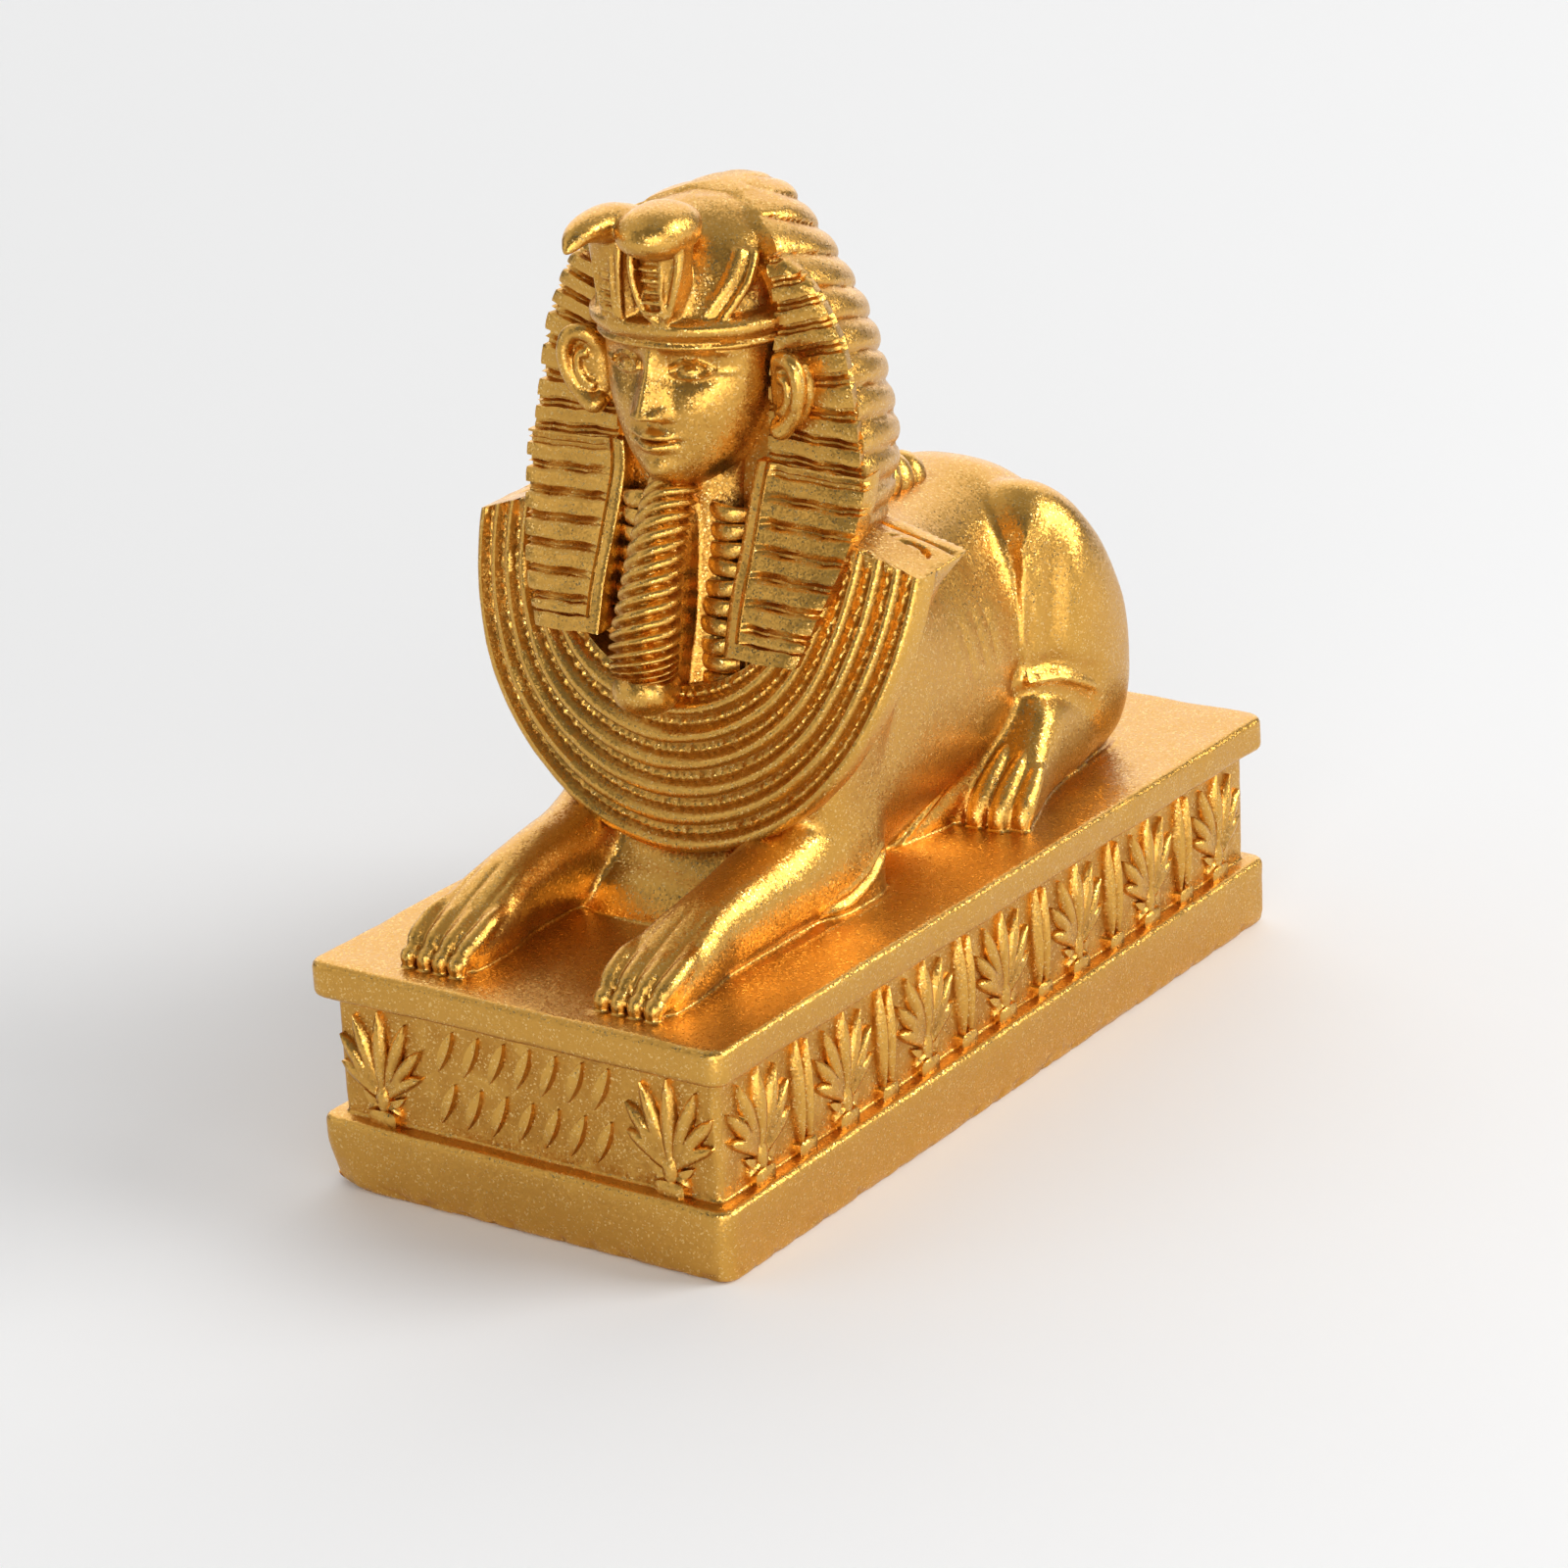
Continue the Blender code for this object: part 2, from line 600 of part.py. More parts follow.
def build_beard(forms):
    """A plaited beard: its twist is a groove that winds round a tube, thicker towards the tip."""
    keys = [
        (0, -13.2, 29.4, 1.9, 1.7),
        (0, -15.4, 26.4, 2.1, 1.8),
        (0, -17.0, 22.6, 2.3, 2.0),
        (0, -18.1, 19.0, 2.7, 2.1),
        (0, -18.4, 17.2, 2.4, 1.9),
        (0, -19.0, 16.2, 1.9, 1.6),
        (0, -19.6, 15.6, 1.3, 1.2),
        (0, -20.0, 15.3, 0.5, 0.5),
    ]
    add_rings(forms, "beard", along_path(keys, 22, 8, twist=2 * math.pi / 3, grooves=1, depth=0.24))
    web = [
        (15.2, 0, -15.8, 1.4, 1.6, 2.4),
        (19.0, 0, -15.4, 1.6, 2.8, 2.4),
        (24.0, 0, -13.8, 1.5, 3.0, 2.4),
        (28.6, 0, -11.8, 1.5, 1.6, 2.4),
    ]
    add_rings(forms, "beard_web", upright(web, 4, 8))


def build_crest(forms):
    """The cobra and, beside it, the vulture that stand on the brow band."""
    cobra = [
        (39.4, 1.0, -14.6, 1.4, 1.8, 2.2),
        (41.5, 1.0, -14.6, 1.8, 1.8, 2.2),
        (43.6, 1.1, -14.6, 2.3, 1.8, 2.2),
        (45.0, 1.1, -14.8, 2.6, 2.4, 2.2),
        (46.4, 1.1, -15.0, 2.7, 2.9, 2.2),
        (47.6, 1.1, -14.8, 1.9, 2.2, 2.2),
        (48.0, 1.1, -14.7, 0.5, 0.6, 2.0),
    ]
    add_rings(forms, "cobra", upright(cobra, 8, 10))
    vulture = [
        (39.4, -2.0, -14.4, 1.3, 1.6, 2.2),
        (42.0, -2.0, -14.6, 1.5, 1.6, 2.2),
        (44.6, -2.0, -14.8, 1.6, 1.7, 2.2),
        (46.4, -2.0, -15.2, 1.5, 2.0, 2.2),
        (47.5, -2.0, -15.6, 1.3, 2.0, 2.2),
        (48.0, -2.0, -15.8, 0.5, 1.0, 2.0),
    ]
    add_rings(forms, "vulture", upright(vulture, 7, 10))
    beak = [
        (-2.0, -15.4, 47.0, 1.2, 1.0),
        (-2.0, -17.6, 47.5, 0.9, 0.8),
        (-2.1, -19.6, 47.4, 0.5, 0.5),
        (-2.1, -20.4, 46.7, 0.2, 0.2),
    ]
    add_rings(forms, "beak", along_path(beak, 6, 6))


def main():
    clear_scene()
    forms = bpy.data.collections.new("forms")
    bpy.context.scene.collection.children.link(forms)
    statue = build_plinth("sphinx_statue", gold_paint())
    build_frieze(forms)
    build_body(forms)
    build_legs(forms)
    build_tail(forms)
    build_collar(forms)
    build_headcloth(forms)
    build_crown(forms)
    build_head(forms)
    build_beard(forms)
    build_crest(forms)
    joined = statue.modifiers.new("casting", "BOOLEAN")
    joined.operation = "UNION"
    joined.operand_type = "COLLECTION"
    joined.collection = forms
    joined.solver = "EXACT"


main()
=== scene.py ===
"""A small gold-painted souvenir sphinx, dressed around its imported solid.

Lengths are in millimetres until a mesh is written. The figure's points are (x, y, z): x to the
figure's left, y towards its tail, z up from the plinth's top.
"""

import json
import logging
import math
from dataclasses import dataclass
from enum import Enum
from typing import Any, Callable, Sequence

import bpy
import numpy as np
from mathutils import Matrix, Vector
from numpy.typing import NDArray

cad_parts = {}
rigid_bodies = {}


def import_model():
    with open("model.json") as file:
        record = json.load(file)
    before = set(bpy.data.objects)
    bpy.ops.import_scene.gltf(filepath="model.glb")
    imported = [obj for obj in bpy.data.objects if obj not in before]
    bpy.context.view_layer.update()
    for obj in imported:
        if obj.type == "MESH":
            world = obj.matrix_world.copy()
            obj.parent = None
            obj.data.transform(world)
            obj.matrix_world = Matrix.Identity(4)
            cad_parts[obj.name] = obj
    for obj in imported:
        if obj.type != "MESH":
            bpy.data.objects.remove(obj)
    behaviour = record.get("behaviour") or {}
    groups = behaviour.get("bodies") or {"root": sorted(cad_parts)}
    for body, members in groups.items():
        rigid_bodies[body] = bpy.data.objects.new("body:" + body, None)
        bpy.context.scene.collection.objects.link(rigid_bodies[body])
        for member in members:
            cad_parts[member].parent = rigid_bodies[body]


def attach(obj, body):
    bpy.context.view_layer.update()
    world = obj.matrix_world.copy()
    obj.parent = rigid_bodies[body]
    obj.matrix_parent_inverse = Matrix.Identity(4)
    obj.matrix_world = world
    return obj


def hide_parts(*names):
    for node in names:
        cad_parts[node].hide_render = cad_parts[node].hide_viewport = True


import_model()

Array = NDArray[np.float64]
Keys = Sequence[Sequence[float]]
Colour = tuple[float, float, float, float]
METRE = 0.001
PLINTH_TOP = 16.0
STATUE = "sphinx_statue"
log = logging.getLogger("sphinx")


class Side(Enum):
    """The figure's left and right."""

    LEFT = 1
    RIGHT = -1


BOTH_SIDES = (Side.LEFT, Side.RIGHT)


# Curves and profiles


def hermite(keys: Keys, count: int) -> Array:
    """Joins rows of numbers by smooth curves.

    Each column is a cubic Hermite curve through its keys, with the slope at a key taken from
    its neighbours, read at even steps.

    Args:
        keys: Rows of numbers.
        count: How many rows to read.

    Returns:
        An array of count rows.
    """
    rows = np.asarray(keys, float)
    slope = np.gradient(rows, axis=0)
    at = np.linspace(0, len(rows) - 1, count)
    i = np.minimum(at.astype(int), len(rows) - 2)
    f = (at - i)[:, None]
    rise = f * f * (3 - 2 * f)
    start, end = f * (1 - f) ** 2, f * f * (f - 1)
    return rows[i] * (1 - rise) + rows[i + 1] * rise + slope[i] * start + slope[i + 1] * end


def ramp(low: float, high: float, at: Array) -> Array:
    """A smooth step from 0 at low to 1 at high."""
    t = np.clip((at - low) / (high - low), 0.0, 1.0)
    return t * t * (3 - 2 * t)


def ridge(distance: Array, width: float) -> Array:
    """A bell of height 1 and the given half width."""
    return np.exp(-((distance / width) ** 2))


def roll(at: Array, pitch: float) -> Array:
    """Rounded rolls side by side, 0 in the grooves between them and 1 on their crests."""
    t = at / pitch - np.floor(at / pitch)
    return np.sqrt(np.clip(1 - (2 * t - 1) ** 2, 0.0, 1.0))


def from_line(across: Array, up: Array, line: Keys) -> tuple[Array, Array]:
    """How far places on a plane lie from a chain of straight stretches.

    For each stretch the nearest point is the projection held between its ends, and the
    shortest of the distances counts.

    Args:
        across: First coordinates of the places.
        up: Second coordinates.
        line: The chain's corners.

    Returns:
        Distances, and the same with a minus sign to the right of the nearest stretch.
    """
    best = np.full(len(across), np.inf)
    signed = best.copy()
    for (x0, z0), (x1, z1) in zip(line, line[1:]):
        run = np.array((x1 - x0, z1 - z0))
        share = np.clip(((across - x0) * run[0] + (up - z0) * run[1]) / (run @ run), 0, 1)
        distance = np.hypot(across - x0 - share * run[0], up - z0 - share * run[1])
        left = run[0] * (up - z0) - run[1] * (across - x0)
        nearer = distance < best
        best = np.where(nearer, distance, best)
        signed = np.where(nearer, np.where(left < 0, -distance, distance), signed)
    return best, signed


@dataclass(frozen=True)
class Waver:
    """Smooth seeded unevenness: random numbers at the corners of cells, blended between them."""

    cell: float
    seed: int
    period: int = 64

    def __call__(self, points: Array) -> Array:
        """Reads the unevenness.

        The eight corners around a point are mixed by smooth steps along x, y and z.

        Args:
            points: Places in millimetres.

        Returns:
            Values between -1 and 1.
        """
        table = np.random.default_rng(self.seed).uniform(-1, 1, (self.period,) * 3)
        at = points / self.cell
        low = np.floor(at).astype(int)
        f = at - low
        f = f * f * (3 - 2 * f)
        value = np.zeros(len(points))
        for corner in np.ndindex(2, 2, 2):
            weight = np.prod(np.where(corner, f, 1 - f), axis=1)
            x, y, z = ((low + corner) % self.period).T
            value += weight * table[x, y, z]
        return value


def superellipse(turn: Array, power: Array | float) -> tuple[Array, Array]:
    """Unit superellipse: power 2 is an ellipse and more is squarer."""
    c, s = np.cos(turn), np.sin(turn)
    return np.sign(c) * abs(c) ** (2 / power), np.sign(s) * abs(s) ** (2 / power)


def around(count: int) -> Array:
    """Even angles round a full turn, without the last."""
    return np.linspace(0, 2 * math.pi, count, endpoint=False)


# Surfaces: each is an array of rings, rows by points by three


def lengthwise(keys: Keys, stations: int, count: int) -> Array:
    """A superellipse section in x and z carried along y.

    Args:
        keys: Rows of y, x, low z, high z, half width, squareness.
        stations: How many rings.
        count: Points in a ring.

    Returns:
        The rings.
    """
    y, x, low, high, half, power = hermite(keys, stations).T[:, :, None]
    u, v = superellipse(around(count)[None, :], power)
    z = (low + high) / 2 + v * (high - low) / 2
    return np.stack([x + half * u, np.broadcast_to(y, z.shape), z], axis=-1)


def upright(keys: Keys, stations: int, count: int) -> Array:
    """A superellipse section in x and y carried up z.

    Args:
        keys: Rows of z, x, y, half width, half depth, squareness.
        stations: How many rings.
        count: Points in a ring.

    Returns:
        The rings.
    """
    z, x, y, half_x, half_y, power = hermite(keys, stations).T[:, :, None]
    u, v = superellipse(around(count)[None, :], power)
    points = x + half_x * u
    return np.stack([points, y + half_y * v, np.broadcast_to(z, points.shape)], axis=-1)


@dataclass(frozen=True)
class Twist:
    """Grooves that wind round a tube: how many, their turn along it, and their depth as a share."""

    grooves: int
    turns: float
    depth: float
    sharpness: float = 1.0


def along_path(keys: Keys, stations: int, count: int, twist: Twist | None = None) -> Array:
    """An ellipse square to a path in space.

    Args:
        keys: Rows of x, y, z, half width, half thickness.
        stations: How many rings.
        count: Points in a ring.
        twist: Grooves wound round it. The radius is one less depth times a cosine bell of
            grooves times the angle plus the turn so far.

    Returns:
        The rings.
    """
    rows = hermite(keys, stations)
    run = np.gradient(rows[:, :3], axis=0)
    run /= np.linalg.norm(run, axis=1)[:, None]
    steep = abs(run[:, 2:3]) > 0.9
    side = np.cross(run, np.where(steep, (0.0, -1.0, 0.0), (0.0, 0.0, 1.0)))
    side /= np.linalg.norm(side, axis=1)[:, None]
    over = np.cross(side, run)
    turn = around(count)[None, :]
    wave = np.ones((stations, count))
    if twist:
        gone = np.linspace(0, 2 * math.pi * twist.turns, stations)[:, None]
        bell = 0.5 + 0.5 * np.cos(twist.grooves * turn + gone)
        wave = 1 - twist.depth * bell**twist.sharpness
    across = (rows[:, 3:4] * np.cos(turn) * wave)[:, :, None] * side[:, None, :]
    raised = (rows[:, 4:5] * np.sin(turn) * wave)[:, :, None] * over[:, None, :]
    return rows[:, None, :3] + across + raised


def mirrored(rings: Array, side: Side) -> Array:
    """The rings on the given side of the figure."""
    return rings * (side.value, 1, 1)


# Clay: closed forms that are joined into one skin


class Clay:
    """Closed forms gathered as arrays, one mesh each or all in one."""

    def __init__(self) -> None:
        """Starts with nothing."""
        self.forms: list[tuple[Array, list[list[int]]]] = []

    def add(self, rings: Array, lift: float = PLINTH_TOP) -> None:
        """Adds a closed tube through rings, each end closed by a fan to its middle.

        Args:
            rings: Rows by points by three.
            lift: How far up it is moved, which is the plinth's height for the figure.
        """
        rows, count = rings.shape[:2]
        index = np.arange(rows * count).reshape(rows, count)
        after = np.roll(index, -1, axis=1)
        quads = np.stack([index[:-1], after[:-1], after[1:], index[1:]], axis=-1).reshape(-1, 4)
        faces = quads.tolist()
        for ring, following, pole in ((after[0], index[0], 0), (index[-1], after[-1], 1)):
            pole = np.full(count, rows * count + pole)
            faces += np.stack([ring, following, pole], axis=-1).tolist()
        ends = np.stack([rings[0].mean(axis=0), rings[-1].mean(axis=0)])
        points = np.concatenate([rings.reshape(-1, 3), ends]) + (0.0, 0.0, lift)
        if self.volume(points, faces) < 0:
            faces = [face[::-1] for face in faces]
        self.forms.append((points, faces))

    @staticmethod
    def volume(points: Array, faces: list[list[int]]) -> float:
        """Six times the signed volume that the faces enclose, positive when they face outwards."""
        corners = np.array([face[:3] for face in faces])
        a, b, c = (points[corners[:, i]] for i in range(3))
        total = np.einsum("ij,ij->i", a, np.cross(b, c)).sum()
        square = np.array([face for face in faces if len(face) == 4])
        if len(square):
            a, b, c = points[square[:, 0]], points[square[:, 2]], points[square[:, 3]]
            total += np.einsum("ij,ij->i", a, np.cross(b, c)).sum()
        return float(total)

    def add_pair(self, rings: Array) -> None:
        """Adds a form on both sides of the figure."""
        for side in BOTH_SIDES:
            self.add(mirrored(rings, side))

    def add_mesh(self, mesh: bpy.types.Mesh) -> None:
        """Adds a closed mesh of quads that is already in place, in metres."""
        self.forms.append((read_points(mesh) / METRE, read_quads(mesh).tolist()))

    def mesh(self, name: str) -> bpy.types.Mesh:
        """All the forms as one mesh of overlapping shells, in metres."""
        faces, start = [], 0
        for points, own in self.forms:
            faces += [[corner + start for corner in face] for face in own]
            start += len(points)
        mesh = bpy.data.meshes.new(name)
        places = np.concatenate([points for points, _ in self.forms]) * METRE
        mesh.from_pydata(places.tolist(), [], faces)
        return mesh

    def collection(self, name: str) -> bpy.types.Collection:
        """Each form as an object of its own in a new collection, in metres."""
        group = bpy.data.collections.new(name)
        for points, faces in self.forms:
            mesh = bpy.data.meshes.new(name)
            mesh.from_pydata((points * METRE).tolist(), [], faces)
            group.objects.link(bpy.data.objects.new(name, mesh))
        return group


@dataclass
class Mould:
    """Where forms go: soft ones melt into one skin, crisp ones keep their own fine surface."""

    soft: Clay
    crisp: Clay


def read_points(mesh: bpy.types.Mesh) -> Array:
    """The mesh's points as rows of three."""
    flat = np.empty(len(mesh.vertices) * 3, np.float32)
    mesh.vertices.foreach_get("co", flat)
    return flat.reshape(-1, 3).astype(float)


def read_normals(mesh: bpy.types.Mesh) -> Array:
    """The mesh's point normals as rows of three."""
    flat = np.empty(len(mesh.vertices) * 3, np.float32)
    mesh.vertex_normals.foreach_get("vector", flat)
    return flat.reshape(-1, 3).astype(float)


def read_quads(mesh: bpy.types.Mesh) -> NDArray[np.int64]:
    """The faces of a mesh that holds only quads."""
    flat = np.empty(len(mesh.loops), np.int32)
    mesh.loops.foreach_get("vertex_index", flat)
    return flat.reshape(-1, 4).astype(np.int64)


def modified(mesh: bpy.types.Mesh, *steps: tuple[str, dict[str, Any]]) -> bpy.types.Mesh:
    """The mesh after some modifiers.

    Args:
        mesh: The mesh to start from, which is removed.
        steps: Each modifier's type and settings.

    Returns:
        A new mesh.
    """
    helper = bpy.data.objects.new("helper", mesh)
    bpy.context.scene.collection.objects.link(helper)
    for kind, settings in steps:
        modifier = helper.modifiers.new(kind.lower(), kind)
        for key, value in settings.items():
            setattr(modifier, key, value)
    graph = bpy.context.evaluated_depsgraph_get()
    made = bpy.data.meshes.new_from_object(helper.evaluated_get(graph))
    bpy.data.objects.remove(helper)
    bpy.data.meshes.remove(mesh)
    return made


def fused(clay: Clay, voxel: float, smoothing: int) -> bpy.types.Mesh:
    """Joins the clay into one skin and softens it.

    Args:
        clay: The closed forms.
        voxel: The remesh's step in millimetres.
        smoothing: How many rounds of smoothing follow.

    Returns:
        The joined mesh, all quads.
    """
    steps = [("REMESH", {"mode": "VOXEL", "voxel_size": voxel * METRE})]
    if smoothing:
        steps.append(("SMOOTH", {"factor": 0.5, "iterations": smoothing}))
    return modified(clay.mesh("clay"), *steps)


# The plinth


@dataclass
class Plinth:
    """A base block, a set-back frieze wall and a cap slab, all with rounded edges."""

    half_width: float = 16.5
    half_length: float = 35.0
    base_height: float = 5.0
    frieze_height: float = 8.5
    inset: float = 1.3
    corner: float = 1.2
    rounding: float = 0.45

    def outline(self, inset: float) -> Array:
        """A rectangle with rounded corners.

        Args:
            inset: How far it lies inside the plinth's own outline.

        Returns:
            Points in x and y, anticlockwise.
        """
        radius = max(self.corner - inset / 2, 0.1)
        turn = np.concatenate([np.linspace(q, q + 1, 9) * math.pi / 2 for q in range(4)])
        sx = np.repeat([1, -1, -1, 1], 9)
        sy = np.repeat([1, 1, -1, -1], 9)
        x = sx * (self.half_width - inset - radius) + radius * np.cos(turn)
        y = sy * (self.half_length - inset - radius) + radius * np.sin(turn)
        return np.stack([x, y], axis=-1)

    def slab(self, low: float, high: float, inset: float, rounding: float) -> Array:
        """A block whose edges follow a quarter circle.

        Args:
            low: Height of its underside.
            high: Height of its top.
            inset: How far it is set back.
            rounding: Radius of its edges.

        Returns:
            The rings.
        """
        turn = np.linspace(0, math.pi / 2, 6)
        cuts = np.concatenate([rounding * (1 - np.sin(turn)), rounding * (1 - np.cos(turn))])
        up = np.concatenate([low + rounding * (1 - np.cos(turn)), high - rounding * (1 - np.sin(turn))])
        rings = [
            np.column_stack([self.outline(inset + cut), np.full(36, z)]) for cut, z in zip(cuts, up)
        ]
        return np.array(rings)

    def build(self, mould: Mould) -> None:
        """Adds the three blocks, each reaching into the next."""
        clay = mould.soft
        frieze_top = self.base_height + self.frieze_height
        clay.add(self.slab(0.0, self.base_height, 0.0, self.rounding), 0.0)
        clay.add(self.slab(self.base_height - 1, frieze_top + 1, self.inset, 0.1), 0.0)
        clay.add(self.slab(frieze_top, PLINTH_TOP, 0.0, self.rounding), 0.0)


@dataclass
class Frieze:
    """Palmettes and reeds in relief along the walls, and rows of strokes at the front."""

    plinth: Plinth
    relief: float = 0.66
    pitch: float = 9.8
    span: float = 6.6
    leaf: float = 7.0
    foot: float = 0.7
    reed_width: float = 1.9
    end_margin: float = 3.6
    stroke_width: float = 1.3
    stroke_height: float = 3.0
    stroke_pitch: float = 2.1
    stroke_rows: int = 2

    def blade(
        self,
        root: tuple[float, float],
        tip: tuple[float, float],
        width: float,
        relief: float,
        droop: float = 0.0,
        vein: float = 0.3,
    ) -> Array:
        """A leaf on a wall that faces -y: an ellipse carried from root to tip.

        Its half width follows a sine, fullest a little past the middle, and its top is creased
        along a vein.

        Args:
            root: Place along the wall and up.
            tip: The other end.
            width: At its fullest.
            relief: How far it stands out.
            droop: How far its middle bows upward.
            vein: Depth of the crease as a share of the relief.

        Returns:
            The rings.
        """
        at = np.linspace(0.0, 1.0, 8)[:, None]
        half = width / 2 * np.sin(math.pi * at**1.15) ** 0.75 + 0.06
        out = relief * (np.sin(math.pi * np.clip(at, 0.03, 0.95)) ** 0.4)
        turn = around(8)[None, :]
        middle = np.array(root) + (np.array(tip) - root) * at
        middle = middle + np.array((0.0, droop)) * np.sin(math.pi * at)
        run = np.array(tip) - root
        run = run / np.linalg.norm(run)
        across = half * np.cos(turn)
        crease = 1 - vein * ridge(np.cos(turn), 0.28)
        return np.stack(
            [
                middle[:, :1] - run[1] * across,
                -out * np.sin(turn) * crease,
                middle[:, 1:] + run[0] * across,
            ],
            axis=-1,
        )

    def palmette(self, centre: float) -> list[Array]:
        """A fan of seven narrow leaves over a calyx, a stem and a small square foot."""
        low = self.plinth.base_height + self.foot
        calyx = low + self.leaf * 0.2
        top = low + self.leaf + 0.25
        forms = [self.blade((centre, calyx - 0.4), (centre, top), 1.15, self.relief * 1.2, 0, 0.1)]
        for lean, reach, width in ((19, 0.92, 1.1), (39, 0.78, 1.05), (63, 0.62, 0.95)):
            for side in (-1, 1):
                turn = math.radians(lean) * side
                length = self.leaf * reach
                root = (centre + side * 0.12, calyx - lean * 0.008)
                tip = (
                    centre + min(length * math.sin(abs(turn)), self.span / 2) * side,
                    calyx + length * math.cos(turn) * 0.86,
                )
                forms.append(self.blade(root, tip, width, self.relief * 1.1, 0.3 * lean / 63, 0.1))
        forms.append(self.blade((centre, low - 0.5), (centre, calyx + 1.0), 1.3, self.relief, 0, 0))
        for side in (-1, 1):
            lobe = ((centre + side * 0.1, calyx - 0.7), (centre + side * 1.7, calyx - 0.1))
            forms.append(self.blade(*lobe, 0.7, 0.5, -0.2))
            forms.append(self.blade((centre, low + 0.6), (centre + side * 1.4, low), 0.6, 0.5, 0.15, 0))
        return forms + [self.block(centre, 2.2)]

    def block(self, centre: float, width: float) -> Array:
        """A small squarish foot that a stem stands on."""
        low = self.plinth.base_height - 0.2
        turn = around(16)[None, :]
        u, v = superellipse(turn, 4.0)
        depth = np.array([-self.relief, 0.0, self.relief * 0.8, self.relief])[:, None]
        size = np.array([1.0, 1.0, 1.0, 0.7])[:, None]
        x = centre + width / 2 * size * u
        return np.stack([x, np.broadcast_to(-depth, x.shape), low + 0.5 + 0.65 * size * v], axis=-1)

    def reed(self, centre: float) -> list[Array]:
        """A bound stem: two ribs side by side that part a little at the head, on a small foot."""
        low = self.plinth.base_height + self.foot
        top = self.plinth.base_height + self.plinth.frieze_height - 0.3
        half = self.reed_width / 2
        forms = []
        for side in (-1, 1):
            root = (centre + side * half * 0.42, low - 0.3)
            tip = (centre + side * half * 0.62, top - 0.5 * (side > 0))
            forms.append(self.blade(root, tip, half * 1.05, self.relief * 1.15, 0.0, 0.0))
        return forms + [self.block(centre, 1.9)]

    def run(self, length: float) -> list[Array]:
        """Palmettes at an even pitch along a wall of this length, with a reed between each two."""
        count = int((length - self.span) / self.pitch) + 1
        middles = (np.arange(count) - (count - 1) / 2) * self.pitch
        forms = [form for middle in middles for form in self.palmette(middle)]
        return forms + [form for middle in middles[1:] for form in self.reed(middle - self.pitch / 2)]

    def strokes(self, half_field: float) -> list[Array]:
        """Rows of slanted chisel strokes where an inscription would stand."""
        count = int(2 * half_field / self.stroke_pitch)
        forms = []
        for row in range(self.stroke_rows):
            share = (row + 0.65) / (self.stroke_rows + 0.3)
            middle = self.plinth.base_height + self.plinth.frieze_height * share
            for i in range(count):
                x = (i - (count - 1) / 2) * self.stroke_pitch
                low = (x - self.stroke_width / 2, middle - self.stroke_height / 2)
                high = (x + self.stroke_width / 2, middle + self.stroke_height / 2)
                forms.append(self.blade(low, high, 0.85, 0.55, 0.0, 0.35))
        return forms

    def build(self, mould: Mould) -> None:
        """Adds each wall's relief, modelled facing -y and turned to its own wall."""
        half_x = self.plinth.half_width - self.plinth.inset
        half_y = self.plinth.half_length - self.plinth.inset
        end = half_x - self.end_margin
        front = self.palmette(-end) + self.palmette(end) + self.strokes(end - self.span / 2)
        side, back = self.run(2 * half_y), self.run(2 * half_x)
        walls = ((front, half_y), (side, half_x), (back, half_y), (side, half_x))
        for quarter, (forms, out) in enumerate(walls):
            c, s = math.cos(quarter * math.pi / 2), math.sin(quarter * math.pi / 2)
            for form in forms:
                x, y, z = form[..., 0], form[..., 1] - out, form[..., 2]
                mould.crisp.add(np.stack([x * c - y * s, x * s + y * c, z], axis=-1), 0.0)


# The lion


